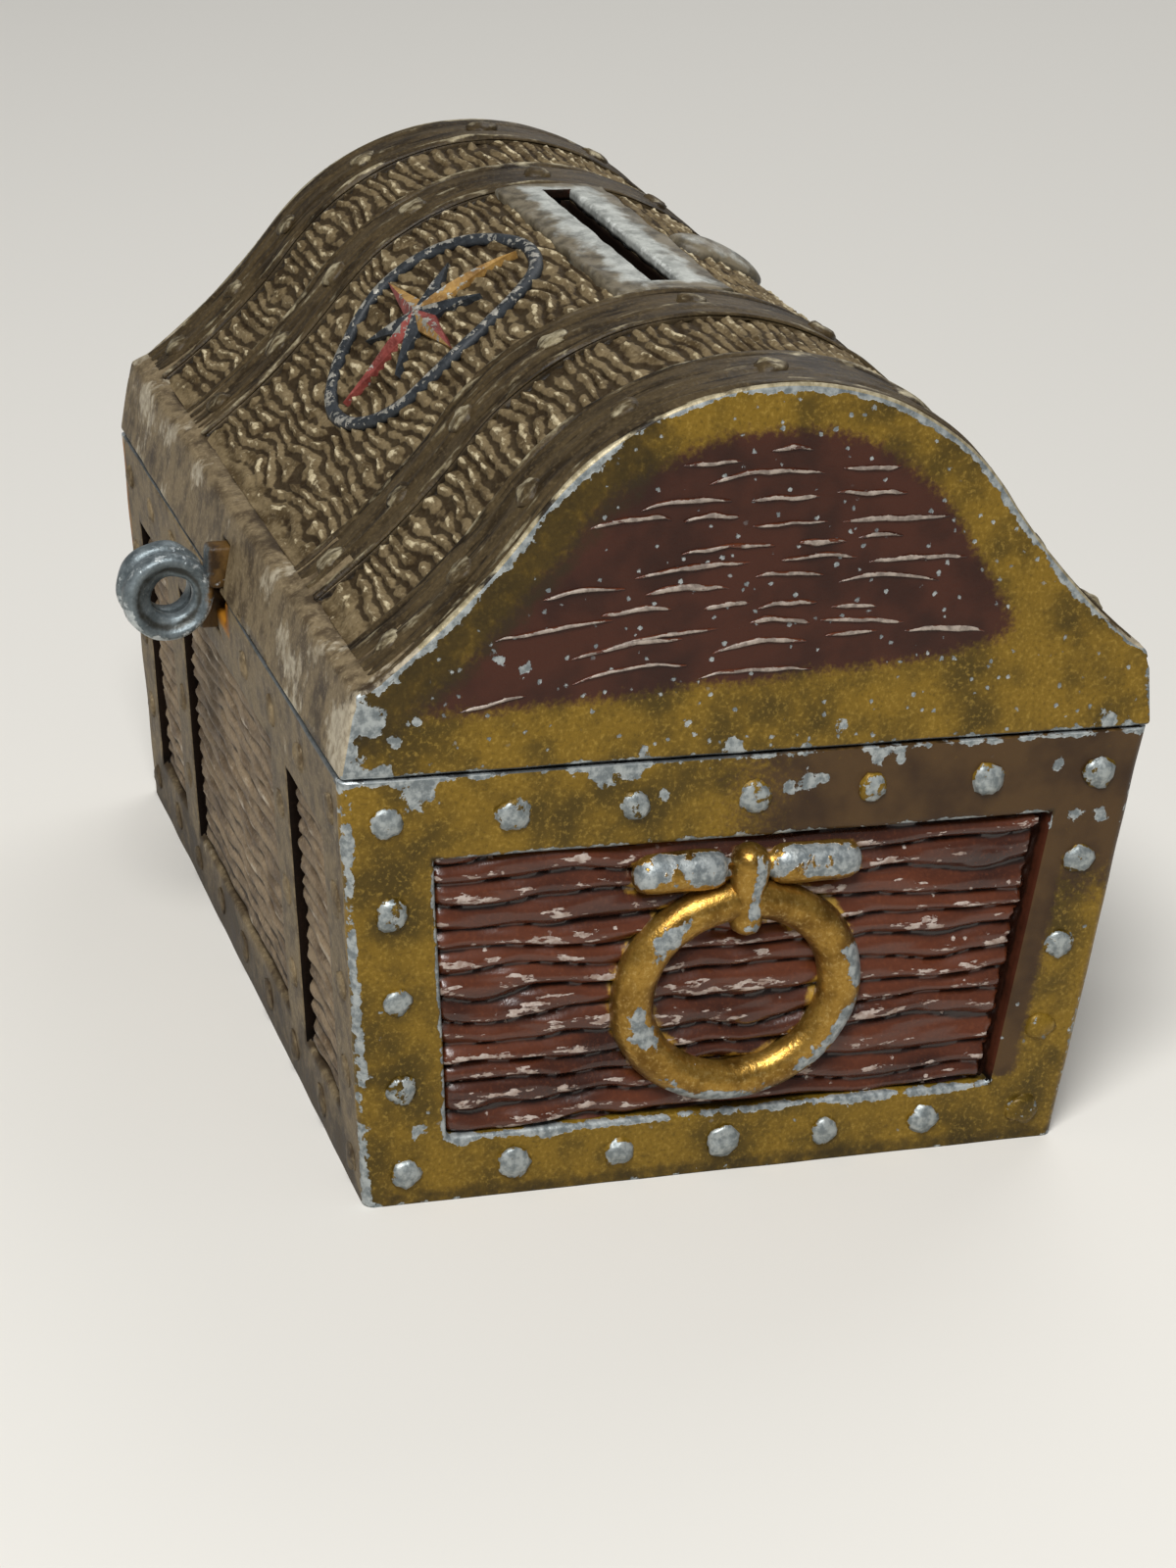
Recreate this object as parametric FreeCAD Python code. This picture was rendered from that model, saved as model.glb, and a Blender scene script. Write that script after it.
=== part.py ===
import FreeCAD, Part
import math
import os

# A small cast-metal coin bank in the form of a treasure chest, in millimetres.
# The origin is the middle of the base, +Z is up and X runs along the chest.
# The padlock eyes are on the front, at -Y, and the lid's hinge is on the back, at +Y.

# Box casting: a tub whose walls lean out from the base to the seam
box_length_top = 83.0
box_end_lean = 1.0
box_width_top = 64.0
box_side_lean = 3.4
box_height = 35.7
box_wall = 2.5
box_floor = 2.4
corner_radius = 0.9
overrun = 5.0

# Framed bays on the four outer walls, each with a panel of cast planks
frame_top = 6.7
frame_foot = 5.5
frame_side = 6.8
brace_width = 6.0
bay_depth = 1.3
plank_thickness = 0.8
plank_gap = 0.05

# Lid casting: an upright lip, then a bell-shaped roof with four straps across it
seam_gap = 0.2
lid_height = 28.4
lid_wall = 2.4
lip_height = 6.6
lip_inset = 0.9
roof_foot_inset = 2.4
roof_foot_height = 7.2
dome_radius = 22.6
flank_radius = 60.0
strap_centre = 20.2
strap_width = 7.0
end_strap_width = 8.0
roof_bay_depth = 0.8
roof_plank_thickness = 0.5

# Coin slot in a bare pad on the crown, and a smooth oval boss behind it
slot_length = 28.6
slot_width = 2.3
pad_width = 9.6
pad_rise = 0.15
boss_length = 8.6
boss_width = 5.2
boss_relief = 0.7
boss_pad_gap = 0.55

# Compass rose in low relief on the roof's front slope
rose_pad_gap = 1.3
rose_ring_radius = 11.2
rose_ring_width = 1.3
rose_long_point = 9.4
rose_short_point = 6.6
rose_waist = 2.4
rose_relief = 0.9
rose_ring_relief = 0.7

# Rivet heads on the frames and straps
rivet_radius = 1.2
rivet_height = 0.75
rivet_sides = 8
rivet_crown_share = 0.55
end_row_count = 7
long_row_count = 9
column_count = 5
strap_rivet_shares = (0.0, 0.30, 0.54, 0.74, 0.93)

# Ring handle in relief on each end, as tall as its bay: ring, waisted bar and the staple over both
ring_wire = 1.6
ring_width_share = 1.08
ring_lift = 0.3
ring_foot_gap = 1.1
bar_radius = 1.6
bar_length = 18.4
bar_break = 3.8
bar_neck_radius = 0.85
bar_lift = 0.3
bar_above_ring = 0.25
staple_radius = 1.6
staple_lift = 0.8
staple_length = 7.5
staple_above_bar = 0.35
staple_top_gap = 0.45
wire_facet_shares = (0.0, 0.7, 1.0)
wire_sides = 12
ring_sides = 36

# Padlock eyes: one on the lid and one on the box, side by side over the seam
eye_radius = 3.75
eye_hole_radius = 1.75
eye_thickness = 1.9
eye_spacing = 0.7
eye_dish = 0.5
eye_reach = 3.85
eye_below_seam = 0.4
eye_root_height = 3.6
eye_root_depth = 1.4
eye_root_gap = 0.3
notch_width = 6.4
notch_height = 2.0
notch_depth = 1.3

# Hinge: two sets of knuckles behind the inner straps, each on its own pin
knuckle_radius = 2.2
knuckle_gap = 0.3
knuckle_web_root = 0.8
lid_knuckle_length = 6.0
box_knuckle_length = 4.0
knuckle_side_gap = 0.25
pin_radius = 0.9
pin_running_fit = 0.06
pin_head_radius = 1.4
pin_head_height = 0.5
lid_opening = 105.0
heel_angle = 45.0
heel_clearance = 0.1

# Worked out from the values above
box_length_base = box_length_top - 2 * box_end_lean
box_width_base = box_width_top - 2 * box_side_lean
seam = box_height + seam_gap
crown = seam + lid_height
half_length = box_length_top / 2
half_width = box_width_top / 2
dome_centre = crown - dome_radius
roof_foot = (half_width - roof_foot_inset, seam + roof_foot_height)
pad_length = 2 * strap_centre - strap_width - 2 * plank_gap
plank_face = plank_thickness - bay_depth
roof_plank_face = roof_plank_thickness - roof_bay_depth
hinge_y = half_width + knuckle_radius + knuckle_gap
hinge_z = box_height + seam_gap / 2
eye_y = -half_width - eye_reach
eye_z = seam - eye_below_seam
x_axis = FreeCAD.Vector(1, 0, 0)
y_axis = FreeCAD.Vector(0, 1, 0)
z_axis = FreeCAD.Vector(0, 0, 1)


def polygon_face(points):
    return Part.Face(Part.makePolygon(points + points[:1]))


def box_between(low, high):
    size = FreeCAD.Vector(*high) - FreeCAD.Vector(*low)
    return Part.makeBox(size.x, size.y, size.z, FreeCAD.Vector(*low))


def frustum(low_ring, high_ring):
    # A solid with flat sides between two rings of corners, which run anticlockwise seen from above
    faces = [polygon_face(low_ring[::-1]), polygon_face(high_ring)]
    count = len(low_ring)
    for corner in range(count):
        after = (corner + 1) % count
        faces.append(polygon_face([low_ring[corner], low_ring[after], high_ring[after], high_ring[corner]]))
    return Part.Solid(Part.Shell(faces))


def turned(outline, start, aside, upward, sides):
    # A turned form with flat facets about the axis that is square to aside and upward.
    # The outline holds pairs of a place along the axis and a radius there, with the solid on its right.
    axis = aside.cross(upward).normalize()
    turns = [2 * math.pi * step / sides for step in range(sides)]
    outs = [aside * math.cos(turn) + upward * math.sin(turn) for turn in turns]
    faces = []
    for (low, low_radius), (high, high_radius) in zip(outline, outline[1:] + outline[:1]):
        for out, after in zip(outs, outs[1:] + outs[:1]):
            corners = [(low, out * low_radius), (high, after * high_radius)]
            if low_radius:
                corners.insert(1, (low, after * low_radius))
            if high_radius:
                corners.append((high, out * high_radius))
            if len(corners) > 2:
                faces.append(polygon_face([start + axis * along + offset for along, offset in corners]))
    return Part.Solid(Part.Shell(faces))


def placed(shape, place):
    copy = shape.copy()
    copy.Placement = place.multiply(copy.Placement)
    return copy


# Box walls

def half_size_at(height):
    share = height / box_height
    along = box_length_base + (box_length_top - box_length_base) * share
    across = box_width_base + (box_width_top - box_width_base) * share
    return along / 2, across / 2


def tapered_block(low, high, inset):
    rings = []
    for height in (low, high):
        along, across = half_size_at(height)
        x = along - inset
        y = across - inset
        corners = [(-x, -y), (x, -y), (x, y), (-x, y)]
        rings.append([FreeCAD.Vector(px, py, height) for px, py in corners])
    return frustum(*rings)


class Wall:
    # An outer wall's own frame: x to the right, y up the wall, z outwards
    def __init__(self, turn, run_base, run_top, across_base, across_top):
        lean = (across_top - across_base) / 2
        self.height = math.hypot(box_height, lean)
        self.run_base = run_base / 2
        self.run_top = run_top / 2
        tilt = 90 + math.degrees(math.atan2(lean, box_height))
        stand = FreeCAD.Placement(-y_axis * across_base / 2, FreeCAD.Rotation(x_axis, tilt))
        about = FreeCAD.Placement(FreeCAD.Vector(), FreeCAD.Rotation(z_axis, turn))
        self.place = about.multiply(stand)

    def edge(self, rise):
        return self.run_base + (self.run_top - self.run_base) * rise / self.height


walls = {
    "front": Wall(0, box_length_base, box_length_top, box_width_base, box_width_top),
    "right_end": Wall(90, box_width_base, box_width_top, box_length_base, box_length_top),
    "back": Wall(180, box_length_base, box_length_top, box_width_base, box_width_top),
    "left_end": Wall(270, box_width_base, box_width_top, box_length_base, box_length_top),
}


def bay_sides(side):
    # Each bay as two functions of height: its left and its right side
    wall = walls[side]
    inner = strap_centre - brace_width / 2
    outer = strap_centre + brace_width / 2

    def corner(rise):
        return wall.edge(rise) - frame_side

    if side.endswith("end"):
        return {"planks": (lambda rise: -corner(rise), corner)}
    return {
        "planks_left": (lambda rise: -corner(rise), lambda rise: -outer),
        "planks_middle": (lambda rise: -inner, lambda rise: inner),
        "planks_right": (lambda rise: outer, corner),
    }


def bay_slab(side, bay, inset, thickness):
    # A slab that lies on the bay's floor, as large as the bay less an inset all round
    wall = walls[side]
    left, right = bay_sides(side)[bay]
    low = frame_foot + inset
    high = wall.height - frame_top - inset
    corners = [(left(low) + inset, low), (right(low) - inset, low)]
    corners += [(right(high) - inset, high), (left(high) + inset, high)]
    face = polygon_face([FreeCAD.Vector(u, v, -bay_depth) for u, v in corners])
    return placed(face.extrude(z_axis * thickness), wall.place)


def plank_panels():
    panels = {}
    for side in walls:
        for bay in bay_sides(side):
            panels[side + "_" + bay] = bay_slab(side, bay, plank_gap, plank_thickness)
    return panels


# Lid roof

def tangent_arcs():
    # The flank arc passes through the roof's foot and meets the dome arc on one tangent
    reach = dome_radius + flank_radius
    y, z = roof_foot[0], roof_foot[1] - dome_centre
    span = math.hypot(y, z)
    along = (reach ** 2 - flank_radius ** 2 + span ** 2) / (2 * span)
    aside = math.sqrt(reach ** 2 - along ** 2)
    centre_y = (along * y - aside * z) / span
    centre_z = (along * z + aside * y) / span
    return (centre_y, centre_z + dome_centre), math.atan2(centre_y, centre_z)


flank_centre, meeting_tilt = tangent_arcs()
foot_tilt = math.atan2(flank_centre[0] - roof_foot[0], flank_centre[1] - roof_foot[1])
dome_run = dome_radius * meeting_tilt
roof_run = dome_run + flank_radius * (meeting_tilt - foot_tilt)


def dome_point(tilt, shift):
    radius = dome_radius + shift
    return radius * math.sin(tilt), dome_centre + radius * math.cos(tilt)


def flank_point(tilt, shift):
    radius = flank_radius - shift
    return flank_centre[0] - radius * math.sin(tilt), flank_centre[1] - radius * math.cos(tilt)


def roof_spot(run):
    # The roof's point and tilt at a distance along the surface from the crown
    if run <= dome_run:
        tilt = run / dome_radius
        return dome_point(tilt, 0), tilt
    tilt = meeting_tilt - (run - dome_run) / flank_radius
    return flank_point(tilt, 0), tilt


def roof_edges(shift):
    # The roof's line from the back foot over the crown to the front foot, shifted outwards
    foot = flank_point(foot_tilt, shift)
    middle = flank_point((foot_tilt + meeting_tilt) / 2, shift)
    meeting = dome_point(meeting_tilt, shift)

    def at(point, hand):
        return FreeCAD.Vector(0, hand * point[0], point[1])

    arcs = [Part.Arc(at(foot, 1), at(middle, 1), at(meeting, 1))]
    arcs.append(Part.Arc(at(meeting, 1), at(dome_point(0, shift), 1), at(meeting, -1)))
    arcs.append(Part.Arc(at(meeting, -1), at(middle, -1), at(foot, -1)))
    return [arc.toShape() for arc in arcs], at(foot, 1), at(foot, -1)


def across_roof(edges, corners, left, right):
    # A face bounded by the roof line and the corners after it, drawn out along the chest
    points = corners
    sides = [Part.makeLine(first, last) for first, last in zip(points[:-1], points[1:])]
    face = Part.Face(Part.Wire(edges + sides))
    face.translate(x_axis * left)
    return face.extrude(x_axis * (right - left))


def roof_band(inner_shift, outer_shift, left, right):
    outer, outer_back, outer_front = roof_edges(outer_shift)
    inner, inner_back, inner_front = roof_edges(inner_shift)
    ends = [Part.makeLine(outer_front, inner_front), Part.makeLine(inner_back, outer_back)]
    face = Part.Face(Part.Wire(Part.__sortEdges__(outer + inner + ends)))
    face.translate(x_axis * left)
    return face.extrude(x_axis * (right - left))


def lid_block():
    edges, back, front = roof_edges(0)
    lip = half_width - lip_inset
    corners = [front]
    lip_top = seam + lip_height
    for y, z in [(-lip, lip_top), (-half_width, seam), (half_width, seam), (lip, lip_top)]:
        corners.append(FreeCAD.Vector(0, y, z))
    return across_roof(edges, corners + [back], -half_length, half_length)


def lid_hollow():
    edges, back, front = roof_edges(-lid_wall)
    inside = half_width - lid_wall
    corners = [front]
    for y, z in [(-inside, seam), (-inside, seam - overrun), (inside, seam - overrun), (inside, seam)]:
        corners.append(FreeCAD.Vector(0, y, z))
    reach = half_length - lid_wall
    return across_roof(edges, corners + [back], -reach, reach)


def roof_bays():
    inner = strap_centre - strap_width / 2
    outer = strap_centre + strap_width / 2
    end = half_length - end_strap_width
    return {"left": (-end, -outer), "middle": (-inner, inner), "right": (outer, end)}


def coin_slot(low, high):
    return box_between((-slot_length / 2, -slot_width / 2, low), (slot_length / 2, slot_width / 2, high))


def slot_pad_block(gap):
    low = (-pad_length / 2 - gap, -pad_width / 2 - gap, dome_centre)
    return box_between(low, (pad_length / 2 + gap, pad_width / 2 + gap, crown + pad_rise))


def coin_slot_pad():
    floor = Part.makeCylinder(
        dome_radius - roof_bay_depth, pad_length, FreeCAD.Vector(-pad_length / 2, 0, dome_centre), x_axis)
    return slot_pad_block(0).cut(floor).cut(coin_slot(dome_centre, crown + overrun))


def roof_planks():
    # The pad divides the middle bay's planks into a back piece and a front piece
    planks = {}
    for name, (left, right) in roof_bays().items():
        planks[name] = roof_band(-roof_bay_depth, roof_plank_face, left + plank_gap, right - plank_gap)
    pieces = planks.pop("middle").cut(slot_pad_block(plank_gap)).Solids
    pieces.sort(key=lambda piece: piece.CenterOfMass.y)
    planks["middle_front"], planks["middle_back"] = pieces
    return {"roof_planks_" + name: piece for name, piece in planks.items()}


# Reliefs on the roof's middle bay

def relief(outline, from_pad, hand, height):
    # A flat outline pressed on the roof at a distance from the pad's edge: hand 1 is the back slope
    pad_edge = dome_radius * math.asin(pad_width / 2 / dome_radius)
    (y, z), tilt = roof_spot(pad_edge + from_pad)
    turn = FreeCAD.Rotation(x_axis, -hand * math.degrees(tilt))
    place = FreeCAD.Placement(FreeCAD.Vector(0, hand * y, z), turn)
    prism = outline.extrude(z_axis * 2 * overrun)
    prism.translate(-z_axis * overrun)
    band = roof_band(roof_plank_face, roof_plank_face + height, -pad_length / 2, pad_length / 2)
    return placed(prism, place).common(band)


def round_face(radius):
    return Part.Face(Part.Wire(Part.makeCircle(radius)))


def rose_ring():
    outline = round_face(rose_ring_radius).cut(round_face(rose_ring_radius - rose_ring_width))
    return relief(outline, rose_pad_gap + rose_ring_radius, -1, rose_ring_relief)


def rose_points():
    # Eight points, long and short in turn, with a waist between each two
    radii = (rose_long_point, rose_waist, rose_short_point, rose_waist)
    corners = []
    for step in range(4 * len(radii)):
        turn = 2 * math.pi * step / (4 * len(radii))
        radius = radii[step % len(radii)]
        corners.append(FreeCAD.Vector(radius * math.sin(turn), radius * math.cos(turn), 0))
    return relief(polygon_face(corners), rose_pad_gap + rose_ring_radius, -1, rose_relief)


def oval_boss():
    outline = Part.Ellipse(FreeCAD.Vector(), boss_length / 2, boss_width / 2)
    face = Part.Face(Part.Wire(outline.toShape()))
    face.rotate(FreeCAD.Vector(), z_axis, 90)
    return relief(face, boss_pad_gap + boss_length / 2, 1, boss_relief)


# Rivets

def rivet():
    turns = [2 * math.pi * step / rivet_sides for step in range(rivet_sides)]

    def ring(radius, height):
        return [FreeCAD.Vector(radius * math.cos(turn), radius * math.sin(turn), height) for turn in turns]

    return frustum(ring(rivet_radius, 0), ring(rivet_radius * rivet_crown_share, rivet_height))


def even_places(first, last, count):
    return [first + (last - first) * step / (count - 1) for step in range(count)]


def rivet_spots(side):
    wall = walls[side]
    heights = even_places(frame_foot / 2, wall.height - frame_top / 2, column_count)
    row_count = end_row_count if side.endswith("end") else long_row_count
    spots = []
    for height in (heights[0], heights[-1]):
        edge = wall.edge(height) - frame_side / 2
        spots += [(u, height) for u in even_places(-edge, edge, row_count)]
    for height in heights[1:-1]:
        edge = wall.edge(height) - frame_side / 2
        spots += [(-edge, height), (edge, height)]
        if not side.endswith("end"):
            spots += [(-strap_centre, height), (strap_centre, height)]
    return [spot for spot in spots if not under_fitting(side, spot)]


def under_fitting(side, spot):
    # True where a padlock eye or a hinge knuckle takes the place of a rivet in the top row
    if spot[1] < walls[side].height - frame_top:
        return False
    if side == "front":
        return abs(spot[0]) < notch_width / 2 + rivet_radius
    if side == "back":
        return abs(abs(spot[0]) - strap_centre) < hinge_half_length() + 2 * rivet_radius
    return False


def wall_rivets(side):
    head = rivet()
    heads = []
    for u, v in rivet_spots(side):
        spot = FreeCAD.Placement(FreeCAD.Vector(u, v, 0), FreeCAD.Rotation())
        heads.append(placed(head, walls[side].place.multiply(spot)))
    return Part.makeCompound(heads)


def strap_rivets(strap_x):
    # On the hollow flank a flat seat rests on its rim, so every head stands off by that much
    head = rivet()
    stand_off = rivet_radius ** 2 / (2 * flank_radius)
    heads = []
    for share in strap_rivet_shares:
        (y, z), tilt = roof_spot(roof_run * share)
        for hand in (1, -1) if share else (1,):
            turn = FreeCAD.Rotation(x_axis, -hand * math.degrees(tilt))
            seat = FreeCAD.Vector(strap_x, hand * y, z) + turn.multVec(z_axis) * stand_off
            heads.append(placed(head, FreeCAD.Placement(seat, turn)))
    return Part.makeCompound(heads)


def strap_places():
    end = half_length - end_strap_width / 2
    return {"left_end": -end, "left_inner": -strap_centre, "right_inner": strap_centre, "right_end": end}


# Ring handles

def above_planks(shape):
    reach = bar_length + box_height
    floor = box_between((-reach, -reach, plank_face - overrun), (reach, reach, plank_face))
    return shape.cut(floor)


def rounded_end(place, radius, hand):
    # Outline points of a rod's rounded end, from its tip to its full radius
    points = []
    for share in wire_facet_shares:
        points.append((place - hand * radius * math.sqrt(1 - share ** 2), radius * share))
    return points


def half_section(radius, lift):
    # The part of a round wire that stands above the planks, with few facets: pairs of offset and height
    arch = [(radius * share, lift + radius * math.sqrt(1 - share ** 2)) for share in wire_facet_shares]
    right = arch + [(radius, 0)]
    left = [(-offset, height) for offset, height in right[:0:-1]]
    return left + right


def handle_pieces():
    bay_height = walls["right_end"].height - frame_top - frame_foot
    above_ring = bar_above_ring + 3 * bar_neck_radius + staple_above_bar
    ring_reach = (bay_height - ring_foot_gap - above_ring - staple_top_gap) / 2
    ring_height = frame_foot + ring_foot_gap + ring_reach
    bar_height = ring_height + ring_reach + bar_above_ring + bar_neck_radius
    tip = bar_length / 2 - bar_radius
    root = bar_break / 2 + bar_radius
    stub = rounded_end(root, bar_radius, 1)[::-1] + [(root, bar_neck_radius)]
    stub = [point for point in stub if point[1] >= bar_neck_radius]
    outline = rounded_end(-tip, bar_radius, 1) + [(-along, radius) for along, radius in stub]
    outline += stub[::-1] + rounded_end(tip, bar_radius, -1)[::-1]
    bar_start = FreeCAD.Vector(0, bar_height, plank_face + bar_lift)
    bar = turned(outline, bar_start, y_axis, z_axis, wire_sides)
    ring_radius = ring_reach - ring_wire
    outline = [(w, ring_radius + u) for u, w in half_section(ring_wire, ring_lift)[::-1]]
    ring_centre = FreeCAD.Vector(0, ring_height, plank_face)
    ring = turned(outline, ring_centre, x_axis * ring_width_share, y_axis, ring_sides).cut(bar)
    staple_top = bar_height + 2 * bar_neck_radius + staple_above_bar
    outline = rounded_end(staple_radius, staple_radius, 1)
    outline += rounded_end(staple_length - staple_radius, staple_radius, -1)[::-1]
    foot = FreeCAD.Vector(0, staple_top - staple_length, plank_face + staple_lift)
    staple = turned(outline, foot, z_axis, x_axis, wire_sides).cut(bar).cut(ring)
    return {"handle_ring": ring, "handle_bar": above_planks(bar), "handle_staple": above_planks(staple)}


# Padlock eyes

def eye_root(left, low):
    high = (left + eye_thickness, -half_width + eye_root_depth, low + eye_root_height)
    return box_between((left, eye_y, low), high)


def padlock_eye(left, dish_at, dish_way, root_low):
    centre = FreeCAD.Vector(left, eye_y, eye_z)
    disc = Part.makeCylinder(eye_radius, eye_thickness, centre, x_axis)
    hole = Part.makeCylinder(eye_hole_radius, eye_thickness, centre, x_axis)
    rim = FreeCAD.Vector(dish_at, eye_y, eye_z)
    dish = Part.makeCone(eye_hole_radius + eye_dish, eye_hole_radius, eye_dish, rim, dish_way)
    return disc.fuse(eye_root(left, root_low)).removeSplitter().cut(hole).cut(dish)


lid_eye_left = eye_spacing / 2
lid_eye_root = seam + eye_root_gap
box_eye_left = -eye_spacing / 2 - eye_thickness
box_eye_root = box_height - eye_root_gap - eye_root_height


def rim_notch():
    high = (notch_width / 2, -half_width + notch_depth, box_height + overrun)
    return box_between((-notch_width / 2, -half_width - overrun, box_height - notch_height), high)


# Hinge

def hinge_half_length():
    return lid_knuckle_length / 2 + knuckle_side_gap + box_knuckle_length


def knuckle(left, length, hand, level):
    # A barrel on the hinge line with a web to the casting: hand 1 goes up to the lid, -1 down to the box
    barrel = hinge_line(left, length, knuckle_radius)
    root = half_width - knuckle_web_root
    side = knuckle_radius * math.sqrt(0.5)
    rise = side + hinge_y + side - root
    corners = [(root, level), (hinge_y, level), (hinge_y + side, hinge_z + hand * side)]
    corners.append((root, hinge_z + hand * rise))
    web = polygon_face([FreeCAD.Vector(left, y, z) for y, z in corners]).extrude(x_axis * length)
    return barrel.fuse(web)


def stop_heel(left, length):
    # A heel on the lid's knuckle that meets the back wall when the lid is fully open
    end = math.radians(180 - heel_angle - lid_opening)
    lean = (box_width_top - box_width_base) / 2 / box_height
    reach = knuckle_radius + knuckle_gap + lean * seam_gap / 2 - heel_clearance
    heel_radius = reach / (math.cos(end) - lean * math.sin(end))
    spread = math.acos(knuckle_radius / heel_radius)
    heel = math.radians(-heel_angle)
    corners = [FreeCAD.Vector(left, hinge_y, hinge_z)]
    for swing, radius in ((-spread, knuckle_radius), (0, heel_radius), (spread, knuckle_radius)):
        turn = heel + swing
        corners.append(FreeCAD.Vector(
            left, hinge_y + radius * math.cos(turn), hinge_z + radius * math.sin(turn)))
    return polygon_face(corners).extrude(x_axis * length)


def hinge_line(left, length, radius):
    return Part.makeCylinder(radius, length, FreeCAD.Vector(left, hinge_y, hinge_z), x_axis)


def hinge_pin(centre_x):
    half = hinge_half_length()
    shank = hinge_line(centre_x - half, 2 * half, pin_radius)
    left_head = hinge_line(centre_x - half - pin_head_height, pin_head_height, pin_head_radius)
    right_head = hinge_line(centre_x + half, pin_head_height, pin_head_radius)
    return shank.fuse([left_head, right_head])


# Castings

def box_casting():
    block = tapered_block(0, box_height, 0)
    upright = [edge for edge in block.Edges if edge.BoundBox.ZLength > box_height / 2]
    block = block.makeFillet(corner_radius, upright)
    box = block.cut(tapered_block(box_floor, box_height + overrun, box_wall))
    pockets = [bay_slab(side, bay, 0, bay_depth + overrun) for side in walls for bay in bay_sides(side)]
    box = box.cut(pockets + [rim_notch()])
    knuckles = []
    for centre_x in (-strap_centre, strap_centre):
        step = lid_knuckle_length / 2 + knuckle_side_gap
        for left in (centre_x - step - box_knuckle_length, centre_x + step):
            knuckles.append(knuckle(left, box_knuckle_length, -1, box_height))
    box = box.fuse(knuckles)
    reach = hinge_half_length() + overrun
    bores = [hinge_line(x - reach, 2 * reach, pin_radius) for x in (-strap_centre, strap_centre)]
    return box.cut(bores + [eye_root(box_eye_left, box_eye_root)]).removeSplitter()


def lid_casting():
    lid = lid_block().cut(lid_hollow())
    pockets = [roof_band(-roof_bay_depth, overrun, left, right) for left, right in roof_bays().values()]
    lid = lid.cut(pockets + [coin_slot(dome_centre, crown + overrun)])
    for centre_x in (-strap_centre, strap_centre):
        left = centre_x - lid_knuckle_length / 2
        barrel = knuckle(left, lid_knuckle_length, 1, seam)
        lid = lid.fuse([barrel, stop_heel(left, lid_knuckle_length)])
        lid = lid.cut(hinge_line(left, lid_knuckle_length, pin_radius + pin_running_fit))
    return lid.cut(eye_root(lid_eye_left, lid_eye_root)).removeSplitter()


nodes = {"box_casting": box_casting(), "lid_casting": lid_casting()}
nodes.update(plank_panels())
nodes.update(roof_planks())
for hand in ("right", "left"):
    for piece, shape in handle_pieces().items():
        nodes[hand + "_" + piece] = placed(shape, walls[hand + "_end"].place)
for side in walls:
    nodes[side + "_rivets"] = wall_rivets(side)
for strap, strap_x in strap_places().items():
    nodes[strap + "_strap_rivets"] = strap_rivets(strap_x)
nodes["coin_slot_pad"] = coin_slot_pad()
nodes["oval_boss"] = oval_boss()
nodes["compass_ring"] = rose_ring()
nodes["compass_points"] = rose_points()
nodes["lid_padlock_eye"] = padlock_eye(lid_eye_left, lid_eye_left + eye_thickness, -x_axis, lid_eye_root)
nodes["box_padlock_eye"] = padlock_eye(box_eye_left, box_eye_left, x_axis, box_eye_root)
nodes["right_hinge_pin"] = hinge_pin(strap_centre)
nodes["left_hinge_pin"] = hinge_pin(-strap_centre)

os.makedirs("parts", exist_ok=True)
for name, shape in nodes.items():
    shape.exportStep("parts/" + name + ".step")
    state = "valid" if shape.isValid() else "INVALID"
    print(name, len(shape.Solids), "solids", round(shape.Volume, 2), "mm3", state)
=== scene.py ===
import math
import random
from functools import partial
import bmesh
import bpy
from mathutils import Matrix, Vector, kdtree, noise


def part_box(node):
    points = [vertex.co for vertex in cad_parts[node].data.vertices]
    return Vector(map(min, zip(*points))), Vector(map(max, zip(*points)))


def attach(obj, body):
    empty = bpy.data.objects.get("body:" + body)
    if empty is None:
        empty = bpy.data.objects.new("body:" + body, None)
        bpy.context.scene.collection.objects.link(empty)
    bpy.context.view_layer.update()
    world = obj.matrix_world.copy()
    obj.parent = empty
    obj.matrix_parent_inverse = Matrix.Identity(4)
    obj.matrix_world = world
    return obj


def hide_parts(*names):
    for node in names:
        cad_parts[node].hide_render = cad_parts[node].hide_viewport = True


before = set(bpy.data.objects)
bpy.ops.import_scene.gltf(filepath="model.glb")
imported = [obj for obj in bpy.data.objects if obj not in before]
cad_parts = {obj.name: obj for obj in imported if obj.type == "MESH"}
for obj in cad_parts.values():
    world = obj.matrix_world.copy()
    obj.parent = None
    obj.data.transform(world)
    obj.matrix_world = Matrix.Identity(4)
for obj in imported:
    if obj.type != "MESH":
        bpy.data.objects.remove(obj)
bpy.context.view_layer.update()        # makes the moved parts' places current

mm = 0.001               # pieces are shaped in millimetres and scaled to metres when finished
scene = bpy.context.scene

# Main sizes of the chest, in millimetres, as the frame has them
chest = dict(
    halfLength=41.5, baseHalfLength=40.5, halfWidth=32.0, baseHalfWidth=28.6, boxHeight=35.7, seam=35.9,
    lipTop=42.5, lipHalfWidth=31.1, bayDepth=1.3, frameTop=6.7, frameFoot=5.5, frameSide=6.8)
roof = dict(
    crown=64.3, domeRadius=22.6, flankRadius=60.0, footY=29.6, footZ=43.1, plankFace=-0.3, bayFloor=-0.8,
    slotReach=1.6, slotDepth=5.0, skinDepth=1.2, lipRise=2.2, facetOut=0.1, facetIn=0.14)
straps = dict(centre=20.2, width=7.0, endWidth=8.0)


# Small helpers

def toLinear(hexText):
    channels = [int(hexText[place:place + 2], 16) / 255 for place in (1, 3, 5)]
    linear = [c / 12.92 if c <= 0.04045 else ((c + 0.055) / 1.055) ** 2.4 for c in channels]
    return (*linear, 1.0)


def smoothStep(low, high, value):
    share = min(1.0, max(0.0, (value - low) / (high - low)))
    return share * share * (3 - 2 * share)


def bump(value, middle, width):
    return math.exp(-((value - middle) / width) ** 2)


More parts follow.
